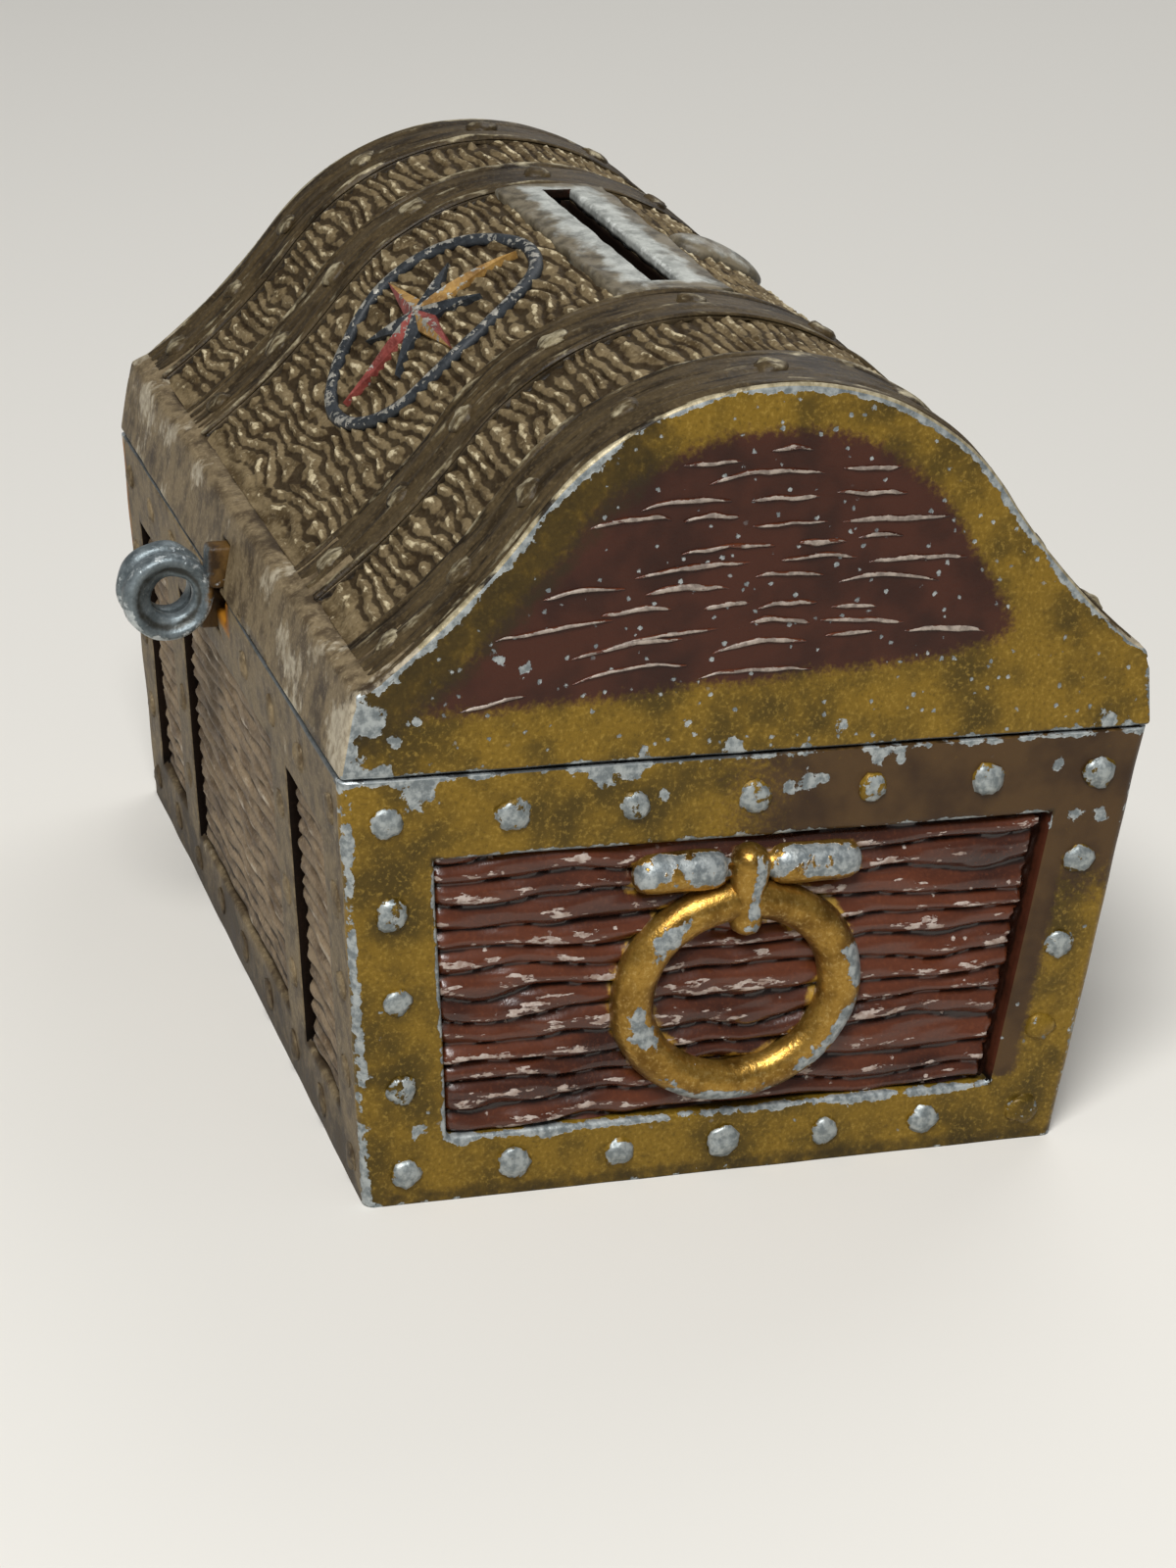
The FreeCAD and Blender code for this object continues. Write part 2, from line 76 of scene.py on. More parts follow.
def ripple(seed, *place):
    # smooth noise from -1 to 1 at a place given in its own units
    spot = Vector((*place, 0.0, 0.0)[:3])
    return noise.noise(spot + Vector((seed * 17.3, seed * 5.1, seed * 11.7)))


def addNode(tree, kind, inputs=None, out=0, **settings):
    # adds a node with its settings and links, and returns one of its outputs
    node = tree.nodes.new("ShaderNode" + kind)
    for name, value in settings.items():
        setattr(node, name, value)
    for socket, value in (inputs or {}).items():
        if isinstance(value, bpy.types.NodeSocket):
            tree.links.new(value, node.inputs[socket])
        else:
            node.inputs[socket].default_value = value
    return node.outputs[out] if node.outputs else None


def perMm(size):
    # scale of a noise whose grains are about this many millimetres on Object coordinates
    return 1 / (size * mm)


def cadCopy(node):
    bm = bmesh.new()
    bm.from_mesh(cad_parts[node].data)
    bmesh.ops.scale(bm, vec=(1 / mm,) * 3, verts=bm.verts)
    bmesh.ops.remove_doubles(bm, verts=bm.verts, dist=0.002)
    flat = math.radians(0.5)
    bmesh.ops.dissolve_limit(bm, angle_limit=flat, verts=bm.verts, edges=bm.edges)
    return bm


def boxOf(node):
    low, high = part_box(node)
    return low / mm, high / mm


def pieceName(node):
    words = node.title().replace("_", "")
    return words[0].lower() + words[1:]


# Painted on the vertices: wear bares metal, the dark layer is dirt plus painted shade, over is a drifted-on
# second colour
paintNames = ("wear", "grime", "over")


def paintLayers(bm):
    return [bm.verts.layers.float.new(name) for name in paintNames]


def added(bm, operator, **settings):
    # runs an operator and returns the vertices that it made
    before = set(bm.verts)
    operator(bm, **settings)
    return [vert for vert in bm.verts if vert not in before]


def spinRound(bm, axis, steps):
    bmesh.ops.spin(bm, geom=bm.verts[:] + bm.edges[:], cent=(0, 0, 0), axis=axis, dvec=(0, 0, 0),
                   angle=2 * math.pi, steps=steps, use_merge=True)


def sharpEdges(bm, angle):
    limit = math.radians(angle)
    return [edge for edge in bm.edges if len(edge.link_faces) == 2 and edge.calc_face_angle() > limit]


def roundEdges(bm, edges, offset):
    bmesh.ops.bevel(bm, geom=edges, offset=offset, offset_type="OFFSET", affect="EDGES", segments=3,
                    profile=0.5, material=-1)


def unevenSkin(bm, depth, size, seed):
    bm.normal_update()
    for vert in bm.verts:
        vert.co += vert.normal * depth * ripple(seed, *(vert.co / size))


def acrossEnd(x, y):
    # place across an end, as seen from outside
    return y if x > 0 else -y


def finishPiece(bm, name, body, materials, stands=(), sharp=80):
    bmesh.ops.recalc_face_normals(bm, faces=bm.faces)
    bmesh.ops.scale(bm, vec=(mm,) * 3, verts=bm.verts)
    mesh = bpy.data.meshes.new(name)
    bm.to_mesh(mesh)
    bm.free()
    for material in materials:
        mesh.materials.append(material)
    mesh.shade_smooth()
    mesh.set_sharp_from_angle(angle=math.radians(sharp))
    piece = bpy.data.objects.new(name, mesh)
    scene.collection.objects.link(piece)
    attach(piece, body)
    if stands:
        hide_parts(*stands)


# Materials

def wornPaint(base, **changes):
    # Thin sprayed paint over a zinc casting: drifting tone, fine grit, chips and rubbed edges
    look = dict(base, **changes)
    material = bpy.data.materials.new(look["name"])
    material.use_nodes = True
    material.node_tree.nodes.clear()
    add = partial(addNode, material.node_tree)
    place = add("TexCoord", out="Object")
    grain = add("Mapping", {"Vector": place, "Scale": look["stretch"]})
    wear, grime, over = (add("Attribute", out="Fac", attribute_name=name) for name in paintNames)

    # noises: where each lies, the size of its grains in millimetres and its detail
    tone = {}
    for name, where, size, detail in (
            ("drift", grain, look["driftSize"], 3), ("grit", place, look["gritSize"], 3),
            ("ragged", place, look["overSize"], 4), ("stain", place, 1.3, 5),
            ("chips", grain, look["chipSize"], 4), ("tarnish", place, 0.7, 3)):
        grains = {"Vector": where, "Scale": perMm(size), "Detail": detail, "Roughness": 0.6}
        tone[name] = add("TexNoise", grains)

    overEdge = add("Math", {0: tone["ragged"], 1: look["overRagged"], 2: over}, operation="MULTIPLY_ADD")
    overFrom = look["overRagged"] / 2 + 0.2
    # the dark coat: dirt and painted shade from the vertex layer, broken by a stain noise
    stainsAndShade = add("Math", {0: tone["stain"], 1: 0.9, 2: grime}, operation="MULTIPLY_ADD")
    stainFrom = look["grimeStart"] + 0.45
    chips = add("Math", {0: wear, 1: look["wearGain"], 2: tone["chips"]}, operation="MULTIPLY_ADD")

    # shares of each coat: what it follows, where it starts, where it is full, and its strength then
    share = {}
    for name, value, low, high, most in (
            ("drift", tone["drift"], 0.32, 0.62, 1.0),
            ("light", tone["grit"], 0.5, 0.74, look["gritShare"]),
            ("dark", tone["grit"], 0.46, 0.3, look["gritShare"]),
            ("over", overEdge, overFrom, overFrom + 0.6, 1.0),
            ("grime", stainsAndShade, stainFrom, stainFrom + 0.5, look["grimeShare"]),
            ("bare", chips, look["chipStart"], look["chipStart"] + look["chipSoft"], 1.0),
            ("tarnish", tone["tarnish"], 0.35, 0.65, 1.0)):
        span = {"Value": value, "From Min": low, "From Max": high, "To Max": most}
        share[name] = add("MapRange", span, interpolation_type="SMOOTHSTEP")
    if look["speckShare"]:
        gap = add("TexVoronoi", {"Vector": place, "Scale": perMm(look["speckSize"])}, out="Distance")
        chosen = add("MapRange", {"Value": gap.node.outputs["Color"], "From Min": 1 - look["speckShare"],
                                  "From Max": 1.05 - look["speckShare"]})
        rim = add("Math", {0: tone["grit"], 1: 0.5, 2: gap}, operation="MULTIPLY_ADD")
        speck = add("MapRange", {"Value": rim, "From Min": 0.44, "From Max": 0.38, "To Max": chosen})
        share["bare"] = add("Math", {0: share["bare"], 1: speck}, operation="MAXIMUM")

    dark, middle, light = (toLinear(colour) for colour in look["paint"])
    second, metal = ([toLinear(colour) for colour in look[name]] for name in ("over", "bare"))
    overTone = add("Mix", {0: share["drift"], 6: second[0], 7: second[1]}, out=2, data_type="RGBA")
    metalTone = add("Mix", {0: share["tarnish"], 6: metal[0], 7: metal[1]}, out=2, data_type="RGBA")
    colour = dark
    for name, coat in (("drift", middle), ("light", light), ("dark", dark), ("over", overTone),
                       ("grime", toLinear(look["grime"])), ("bare", metalTone)):
        colour = add("Mix", {0: share[name], 6: colour, 7: coat}, out=2, data_type="RGBA")

    grit = add("Math", {0: tone["grit"], 1: look["gritDepth"]}, operation="MULTIPLY")
    relief = add("Math", {0: share["bare"], 1: -look["coatDepth"], 2: grit}, operation="MULTIPLY_ADD")
    normal = add("Bump", {"Height": relief, "Strength": look["bump"], "Distance": mm})
    rough = add("Mix", {0: share["bare"], 2: look["roughness"] - 0.12, 3: look["bareRoughness"] - 0.12})
    rough = add("Math", {0: tone["drift"], 1: 0.24, 2: rough}, operation="MULTIPLY_ADD")
    sheen = look["metallic"]
    if sheen:
        sheen = add("Mix", {0: share["over"], 2: sheen, 3: 0.0})
    sheen = add("Mix", {0: share["bare"], 2: sheen, 3: look["bareMetallic"]})
    shader = add("BsdfPrincipled", {"Base Color": colour, "Roughness": rough, "Metallic": sheen,
                                    "Normal": normal, "Specular IOR Level": look["gloss"]})
    add("OutputMaterial", {"Surface": shader})
    return material


# What all the paints share, with sizes and depths in millimetres; each paint below changes what differs
paintBase = dict(
    driftSize=6.0, stretch=(1, 1, 1), gritSize=0.32, gritShare=0.45, gritDepth=0.06, coatDepth=0.05,
    bump=0.7, gloss=0.25, over=("#2c140b", "#3f1f13"), overSize=0.45, overRagged=1.1, grime="#1d150d",
    grimeStart=0.45, grimeShare=0.8, chipSize=1.1, chipStart=0.75, chipSoft=0.04, wearGain=0.32,
    speckSize=1.0, speckShare=0.0, bare=("#72797b", "#a9aead"), bareRoughness=0.46, bareMetallic=0.55,
    metallic=0.0, roughness=0.42)

# Bronze-powder gold paint, dulled with age: a soft metallic sheen, olive stains and painted shade, grey where
# it has rubbed off
goldLook = dict(
    paintBase, name="AgedGoldPaint", paint=("#46370f", "#7a5f1b", "#a98b3f"), metallic=0.25, roughness=0.4,
    grime="#2a210d", grimeStart=0.4, grimeShare=0.8, speckShare=0.5)
agedGold = wornPaint(goldLook)
# The same on the box, with a browner overspray and fewer specks
boxGold = wornPaint(goldLook, name="AgedGoldBoxPaint", over=("#33210f", "#4a351b"), speckShare=0.14)

# The same gold on the raised handles, painted lighter as a painted highlight
brightGold = wornPaint(
    goldLook, name="BrightGoldPaint", paint=("#6c4e1e", "#a07c38", "#cdae6c"), metallic=0.8,
    roughness=0.32, chipSize=1.7, chipStart=0.72, wearGain=0.3, grime="#3d2a0e", speckShare=0.0,
    driftSize=3.0)

# Red-brown lacquer on the plank panels: glossy, thin on the crests, with painted shade nearly black in the
# grooves
brownLook = dict(
    paintBase, name="BrownPlankLacquer", paint=("#2c130a", "#522815", "#7a4529"), roughness=0.27,
    gloss=0.55, grime="#190b06", grimeStart=0.35, grimeShare=0.9, gritShare=0.2, gritDepth=0.03,
    over=("#7d5c1c", "#a58336"), stretch=(1.0, 0.32, 1.0), chipSize=0.45, chipStart=0.755, wearGain=0.29,
    bare=("#8a7468", "#b5a79d"), bareMetallic=0.2, bareRoughness=0.4, speckShare=0.25)
brownLacquer = wornPaint(brownLook)

# Lacquer on the lid's carved strokes: rubbed through to pale metal along every crest
strokeLacquer = wornPaint(
    brownLook, name="RubbedStrokeLacquer", bare=("#73675e", "#a29589"), chipStart=0.64, wearGain=0.3,
    speckShare=0.0)

# Faded dusty paint of the long walls and the lip: dull olive-taupe, softly mottled
# its second colour is the gold paint in the padlock notch, made bright orange as a painted highlight
dustyLook = dict(
    paintBase, name="DustyTaupePaint", paint=("#4b3e2c", "#75664d", "#9b8b6e"), stretch=(1.0, 1.0, 0.8),
    driftSize=1.8, roughness=0.56, gloss=0.15, grime="#261b10", grimeStart=0.35, grimeShare=0.8,
    over=("#7a4a12", "#a06a1e"), bare=("#8f846f", "#ada28c"), bareMetallic=0.1, chipStart=0.72,
    chipSoft=0.24)
dustyTaupe = wornPaint(dustyLook)

# The same dust on plank panels: pinker, with the grain running along the wall
dustyPlanks = wornPaint(
    dustyLook, name="DustyPlankPaint", paint=("#54432f", "#84725a", "#a3917a"), stretch=(0.3, 1.0, 1.0),
    chipSize=1.0, wearGain=0.24, grime="#1b110a", bare=("#a2937d", "#bcb09c"))

# Bark-like roof panels: painted shade dark in the hollows, crests rubbed to a dusty tan
roofBark = wornPaint(
    dustyLook, name="RubbedRoofPaint", paint=("#453824", "#706147", "#8f8064"), grime="#20160c",
    grimeStart=0.3, bare=("#9f9070", "#c9bb9a"), chipStart=0.69, wearGain=0.28, stretch=(0.5, 1.0, 1.0),
    chipSize=0.7, chipSoft=0.16, roughness=0.66, gloss=0.07)

# Dark olive wash on the straps, with paler metal on the raised lines
strapOlive = wornPaint(
    dustyLook, name="OliveStrapPaint", paint=("#261d10", "#443824", "#64553b"), roughness=0.46, gloss=0.16,
    grime="#130d06", bare=("#857a5f", "#aea387"), bareMetallic=0.3, chipSize=0.8, chipStart=0.72,
    stretch=(1.0, 0.35, 0.35))

# Bare zinc alloy: dull blue-grey, pitted, brown dirt and painted shade in the hollows
# its second colour is the gold paint on the eyes' necks, darkened as painted shade
zincLook = dict(
    paintBase, name="BareZinc", paint=("#535b5e", "#717a7d", "#939b9c"), metallic=0.55, roughness=0.44,
    grime="#2d281d", grimeStart=0.3, over=("#2c1d0a", "#58401e"), bare=("#a3aaac", "#c4c9c8"),
    bareMetallic=0.6, chipStart=0.7, chipSoft=0.1, driftSize=1.6)
bareZinc = wornPaint(zincLook)

# Zinc round the coin slot, dulled by handling: greyer, with olive wash creeping in from its border
slotZinc = wornPaint(
    zincLook, name="HandledZinc", paint=("#8d8f89", "#b6b8b1", "#d0d2cb"), over=("#453e30", "#6e6553"),
    overSize=1.1, overRagged=1.0, metallic=0.3, bare=("#b4b6b0", "#d2d4ce"), bareMetallic=0.2)
# Unpainted zinc inside: darker and duller than where hands have been
insideZinc = wornPaint(
    zincLook, name="InsideZinc", paint=("#4f5150", "#66696a", "#7c8080"), roughness=0.6, chipStart=0.8)

# Painted shade: near-black brown in the gaps beside the planks, on the bay floors and in the coin slot; dull,
# nearly no light back
paintedGapShade = wornPaint(
    paintBase, name="ShadowWash", paint=("#0e0805", "#150d08", "#20150e"), roughness=0.7, gloss=0.04,
    chipStart=0.95, grime="#080503")

# Enamel colours of the compass rose: flat, chalky, chipped to the metal
enamelLook = dict(
    paintBase, roughness=0.5, driftSize=2.0, chipSize=0.9, chipStart=0.66, wearGain=0.25, speckShare=0.3,
    bare=("#7b7a72", "#a8a49a"), bareMetallic=0.35)
charcoalEnamel = wornPaint(enamelLook, name="CharcoalEnamel", paint=("#1d2023", "#2c3034", "#43484b"))
ochreEnamel = wornPaint(enamelLook, name="OchreEnamel", paint=("#6e5026", "#9a773f", "#b99862"))
redEnamel = wornPaint(enamelLook, name="RedEnamel", paint=("#57241f", "#803d36", "#9e6057"))

# Drawn steel wire of the hinge pins: grey, a little rust
steelWire = wornPaint(
    zincLook, name="SteelWire", paint=("#4d4a46", "#65625e", "#86837e"), metallic=0.95, roughness=0.4,
    over=("#5a3418", "#6d4322"))
print("materials made")


# Castings: copies of the frame's box and lid with rounded edges, diced so that they can be uneven

casting = dict(
    edgeRound=0.4, sharpFrom=28, step=1.1, endStep=0.5, endInset=2.2, merge=0.03, uneven=0.09,
    unevenSize=5.0, hingeReach=1.5, hingeDrop=8.0, rubSize=3.5, cornerShadeWidth=0.6, cutShift=0.37)


def alongEdges(edges, step=0.4):
    points = []
    for edge in edges:
        first, last = (vert.co.copy() for vert in edge.verts)
        count = max(1, round((last - first).length / step))
        points += [first.lerp(last, (index + 0.5) / count) for index in range(count)]
    return points


def nearness(points):
    tree = kdtree.KDTree(len(points))
    for index, point in enumerate(points):
        tree.insert(point, index)
    tree.balance()
    return tree


def dice(bm, step, axes=(0, 1, 2), chosen=None, inset=0.0):
    # cuts the mesh, or the faces of one material, into strips on each axis, but not near the ends along X
    for axis in axes:
        places = [vert.co[axis] for vert in bm.verts]
        normal = Vector((0, 0, 0))
        normal[axis] = 1
        for index in range(math.floor(min(places) / step), math.ceil(max(places) / step)):
            level = (index + casting["cutShift"]) * step
            if axis == 0 and not min(places) + inset < level < max(places) - inset:
                continue
            geom = bm.verts[:] + bm.edges[:] + bm.faces[:]
            if chosen is not None:
                cut = []
                for face in bm.faces:
                    if face.material_index == chosen:
                        heights = [vert.co[axis] for vert in face.verts]
                        if min(heights) < level < max(heights):
                            cut.append(face)
                geom = cut + list(dict.fromkeys(edge for face in cut for edge in face.edges))
                geom += list(dict.fromkeys(vert for face in cut for vert in face.verts))
            bmesh.ops.bisect_plane(bm, geom=geom, dist=0.0005, plane_co=normal * level, plane_no=normal)


def besideHinge(edge):
    middle = (edge.verts[0].co + edge.verts[1].co) / 2
    behind = middle.y > chest["halfWidth"] - casting["hingeReach"]
    return behind and middle.z > chest["boxHeight"] - casting["hingeDrop"]


def roomBeside(edge):
    # the faces at the edge are wide enough to be cut back on both of their sides
    widths = [face.calc_area() / max(side.calc_length() for side in face.edges) for face in edge.link_faces]
    return min(widths) > 2 * casting["edgeRound"]


def roundedCasting(node, faceKind):
    bm = cadCopy(node)
    for face in bm.faces:
        face.material_index = faceKind(face)
    corners = sharpEdges(bm, casting["sharpFrom"])
    ridges = nearness(alongEdges([edge for edge in corners if edge.is_convex]))
    hollows = nearness(alongEdges([edge for edge in corners if not edge.is_convex]))
    softened = [edge for edge in corners if roomBeside(edge) and not besideHinge(edge)]
    roundEdges(bm, softened, casting["edgeRound"])
    dice(bm, casting["endStep"], (1, 2), 0)
    dice(bm, casting["step"], inset=casting["endInset"])
    bmesh.ops.remove_doubles(bm, verts=bm.verts, dist=casting["merge"])
    return bm, ridges, hollows


def rubCasting(bm, ridges, hollows, edgeWear):
    wear, grime, over = paintLayers(bm)
    for vert in bm.verts:
        spot, index, gap = ridges.find(vert.co)
        strength, width = edgeWear(*spot)
        broken = 0.8 + 0.7 * ripple(2, *(vert.co / casting["rubSize"]))
        vert[wear] = strength * broken * bump(gap, 0, width)
        # painted shade along the inner corners of the casting
        vert[grime] = bump(hollows.find(vert.co)[2], 0, casting["cornerShadeWidth"])
    return wear, grime, over


def chipAt(side, height, spots):
    # chips at chosen places on an end as seen from outside: across, height and size
    return sum(1.4 * math.exp(-((side - y) ** 2 + (height - z) ** 2) / size ** 2) for y, z, size in spots)


# Box: gold ends, dusty long walls, bare rim and inside

boxChips = [(-26.3, 34.3, 1.3), (-12.2, 34.8, 1.1), (-10.0, 34.9, 0.8), (-7.4, 33.2, 0.7), (2.6, 33.0, 0.7),
            (4.2, 33.2, 0.8), (5.4, 33.4, 0.6), (9.6, 34.9, 0.8), (11.6, 34.9, 0.7), (24.6, 33.1, 0.7),
            (29.0, 28.6, 0.9), (26.6, 28.8, 0.6), (-24.6, 6.4, 0.8), (-21.0, 5.6, 0.9), (-14.6, 5.4, 1.0)]


def halfSizeAt(height):
    share = height / chest["boxHeight"]
    along = chest["baseHalfLength"] + (chest["halfLength"] - chest["baseHalfLength"]) * share
    across = chest["baseHalfWidth"] + (chest["halfWidth"] - chest["baseHalfWidth"]) * share
    return along, across


def boxWear(x, y, z):
    # how strongly and how widely the paint is rubbed along the edge at this place
    if halfSizeAt(z)[0] - abs(x) > 1.6:
        return 0.35, 0.35
    if z < 1.0:
        return 0.6, 0.4
    if z > chest["boxHeight"] - 0.8:
        return 1.4, 0.45
    if z < chest["frameFoot"] + 1.5:
        return 2.2, 0.5
    if z > chest["boxHeight"] - chest["frameTop"] - 1.5:
        return 1.7, 0.38
    return (2.2, 0.36) if acrossEnd(x, y) < 0 else (0.0, 0.3)


def boxFaceKind(face):
    # 0 painted end, 1 long wall, 2 bare inside, rim and base, 3 painted shade on the bay floors and one side
    # wall of each bay
    x, y, z = face.calc_center_median()
    along, across = halfSizeAt(z)
    endGap, sideGap = along - abs(x), across - abs(y)
    flat = abs(face.normal.z) > 0.8 and (z < 0.4 or z > chest["boxHeight"] - 0.3)
    if flat or min(endGap, sideGap) > chest["bayDepth"] + 0.2:
        return 2
    floor = min(endGap, sideGap) > chest["bayDepth"] - 0.2
    endWall = 0.2 < endGap < sideGap - 2 and face.normal.y * math.copysign(1, x) < -0.7
    longWall = 0.2 < sideGap < endGap - 2 and face.normal.x * math.copysign(1, y) < -0.7
    if floor or endWall or longWall:
        return 3
    return 0 if endGap < sideGap else 1


def makeBox():
    bm, ridges, hollows = roundedCasting("box_casting", boxFaceKind)
    wear, grime, over = rubCasting(bm, ridges, hollows, boxWear)
    for face in bm.faces:
        spot = face.calc_center_median()
        if face.material_index == 1 and halfSizeAt(spot.z)[0] - abs(spot.x) < 1.0:
            face.material_index = 0
    for vert in bm.verts:
        x, y, z = vert.co
        side = acrossEnd(x, y)
        along, across = halfSizeAt(z)
        corner = math.hypot(max(0.0, along - abs(x)), max(0.0, across - abs(y)))
        rubbed = (1.35 if side < 0 else 0.7) * (0.75 + 0.7 * ripple(3, z / 4, side))
        vert[wear] += rubbed * bump(corner, 0.3, 0.6)
        if along - abs(x) < 2:
            # brown overspray along the top and down the back column, and beside the bay's back edge
            top = smoothStep(-9, 7, side) * smoothStep(25, 30, z)
            column = smoothStep(23, 27, side) * smoothStep(17, 27, z)
            sill = bump(side, across - chest["frameSide"] + 0.9, 1.3)
            sill *= smoothStep(5.5, 6.5, z) * smoothStep(31, 29, z)
            vert[over] = max(0.9 * top, 0.9 * column, 1.2 * sill)
            vert[wear] += chipAt(side, z, boxChips)
            # darker towards the bottom, and on the front column about mid-height
            foot = 0.75 * smoothStep(2.6, 0.4, z)
            vert[grime] += foot + 0.45 * bump(z, 20, 7) * smoothStep(-22, -26, side)
        elif abs(x) < 4 and y < -chest["halfWidth"] + 3 and z > chest["boxHeight"] - 2.6:
            # gold paint in the padlock notch, brightened as a painted highlight
            vert[over] = 1.0
        else:
            patchy = ripple(6, x / 6, z / 4)
            vert[wear] += 0.6 * smoothStep(0.1, 0.6, patchy)
            # the long walls darker towards the bottom, and in patches
            vert[grime] += 0.75 * smoothStep(12, 0, z) + 0.5 * smoothStep(0.0, 0.6, -patchy)
    unevenSkin(bm, casting["uneven"], casting["unevenSize"], 1)
    looks = [boxGold, dustyTaupe, insideZinc, paintedGapShade]
    finishPiece(bm, "boxBody", "chest", looks, ["box_casting"], 50)


makeBox()
print("box made")


# Lid casting: its faceted roof is drawn back on to the true curve, and its ends get a soft brown patch

def roofCurve():
    middle = roof["crown"] - roof["domeRadius"]
    reach = roof["domeRadius"] + roof["flankRadius"]
    y, z = roof["footY"], roof["footZ"] - middle
    span = math.hypot(y, z)
    along = (reach ** 2 - roof["flankRadius"] ** 2 + span ** 2) / (2 * span)
    aside = math.sqrt(reach ** 2 - along ** 2)
    flankY, flankZ = (along * y - aside * z) / span, (along * z + aside * y) / span
    meeting = math.atan2(flankY, flankZ)
    footTilt = math.atan2(flankY - y, flankZ - z)
    domeRun = roof["domeRadius"] * meeting
    return {"middle": middle, "flankY": flankY, "flankZ": flankZ + middle, "meeting": meeting,
            "domeRun": domeRun, "run": domeRun + roof["flankRadius"] * (meeting - footTilt)}


curve = roofCurve()


def onRoof(x, run, lift):
    # a point at a distance from the crown along the roof: negative runs are on the front slope
    hand = 1 if run >= 0 else -1
    if abs(run) <= curve["domeRun"]:
        tilt = abs(run) / roof["domeRadius"]
        radius = roof["domeRadius"] + lift
        return Vector((x, hand * radius * math.sin(tilt), curve["middle"] + radius * math.cos(tilt)))
    tilt = curve["meeting"] - (abs(run) - curve["domeRun"]) / roof["flankRadius"]
    radius = roof["flankRadius"] - lift
    y = curve["flankY"] - radius * math.sin(tilt)
    return Vector((x, hand * y, curve["flankZ"] - radius * math.cos(tilt)))


def underRoof(y, z):
    # depth of a point under the roof's curve, and the way out
    toDome = Vector((0, y, z - curve["middle"]))
    if math.atan2(abs(y), toDome.z) < curve["meeting"]:
        return roof["domeRadius"] - toDome.length, toDome.normalized()
    toFlank = Vector((0, math.copysign(curve["flankY"], y) - y, curve["flankZ"] - z))
    return toFlank.length - roof["flankRadius"], toFlank.normalized()


# Brown patch on the lid's ends: distances from the roof and the seam, and how softly it ends
patch = dict(roofBand=3.1, backBand=0.12, foot=4.7, footSlope=0.05, backFoot=0.12, soft=1.5, corner=2.4)
lidChips = [(-29.6, 40.4, 1.3), (-28.0, 38.6, 0.7), (-26.4, 40.2, 0.6), (-5.8, 38.6, 0.6), (6.2, 37.6, 0.8),
            (-2.0, 36.8, 0.8), (28.6, 36.9, 1.0), (-9.0, 36.8, 0.6), (-20.5, 44.6, 0.7), (-18.6, 43.6, 0.6)]


def brownPatch(side, z):
    # from 0 outside the patch to 1 inside; side runs across the end as seen from outside
    fromRoof = underRoof(side, z)[0] - patch["roofBand"] - patch["backBand"] * max(0.0, side - 4)
    foot = patch["foot"] + patch["footSlope"] * (side + 23) + patch["backFoot"] * max(0.0, side - 10)
    fromFoot = z - chest["seam"] - foot
    rounding = max(0.0, patch["corner"] - abs(fromRoof - fromFoot)) ** 2 / (4 * patch["corner"])
    inside = min(fromRoof, fromFoot) - rounding + 0.5 * ripple(5, side / 5, z / 5)
    return smoothStep(-patch["soft"], patch["soft"], inside)


def lidWear(x, y, z):
    side = acrossEnd(x, y)
    if abs(x) < chest["halfLength"] - 1:
        return (0.5, 0.3) if z < chest["seam"] + 0.5 else (0.0, 0.3)
    if side < -chest["halfWidth"] + 4 and z < roof["footZ"] + 1:
        return 1.9, 1.1
    if z > chest["lipTop"] - 0.3:
        return 3.0, 0.55
    return 1.3, 0.42


def lidFaceKind(face):
    # 0 painted end, 1 roof, 2 lip, 3 bare inside, 4 painted shade on the walls of the coin slot
    x, y, z = face.calc_center_median()
    if abs(x) > chest["halfLength"] - 0.3 and abs(face.normal.x) > 0.9:
        return 0
    if abs(y) < roof["slotReach"] and z > roof["crown"] - roof["slotDepth"] and abs(face.normal.z) < 0.4:
        return 4
    if z > roof["footZ"] and max(underRoof(*vert.co.yz)[0] for vert in face.verts) < roof["skinDepth"]:
        return 1 if z > roof["footZ"] + roof["lipRise"] else 2
    outward = face.normal.y * y > 0 or face.normal.z > 0.5 or z > roof["footZ"]
    if abs(y) > roof["footY"] - 1.0 and outward and z > chest["seam"] + 0.2:
        return 2
    return 3


# How far from its edge the lip is softened, and in how many passes
lip = dict(inset=0.3, reach=1.8, passes=8)


def softenLip(bm):
    # the lip rounds over into the roof with no clear edge
    ridge = chest["lipHalfWidth"] - lip["inset"]
    near = [vert for vert in bm.verts
            if math.hypot(abs(vert.co.y) - ridge, vert.co.z - chest["lipTop"]) < lip["reach"]]
    for step in range(lip["passes"]):
        bmesh.ops.smooth_vert(bm, verts=near, factor=0.5, use_axis_y=True, use_axis_z=True)


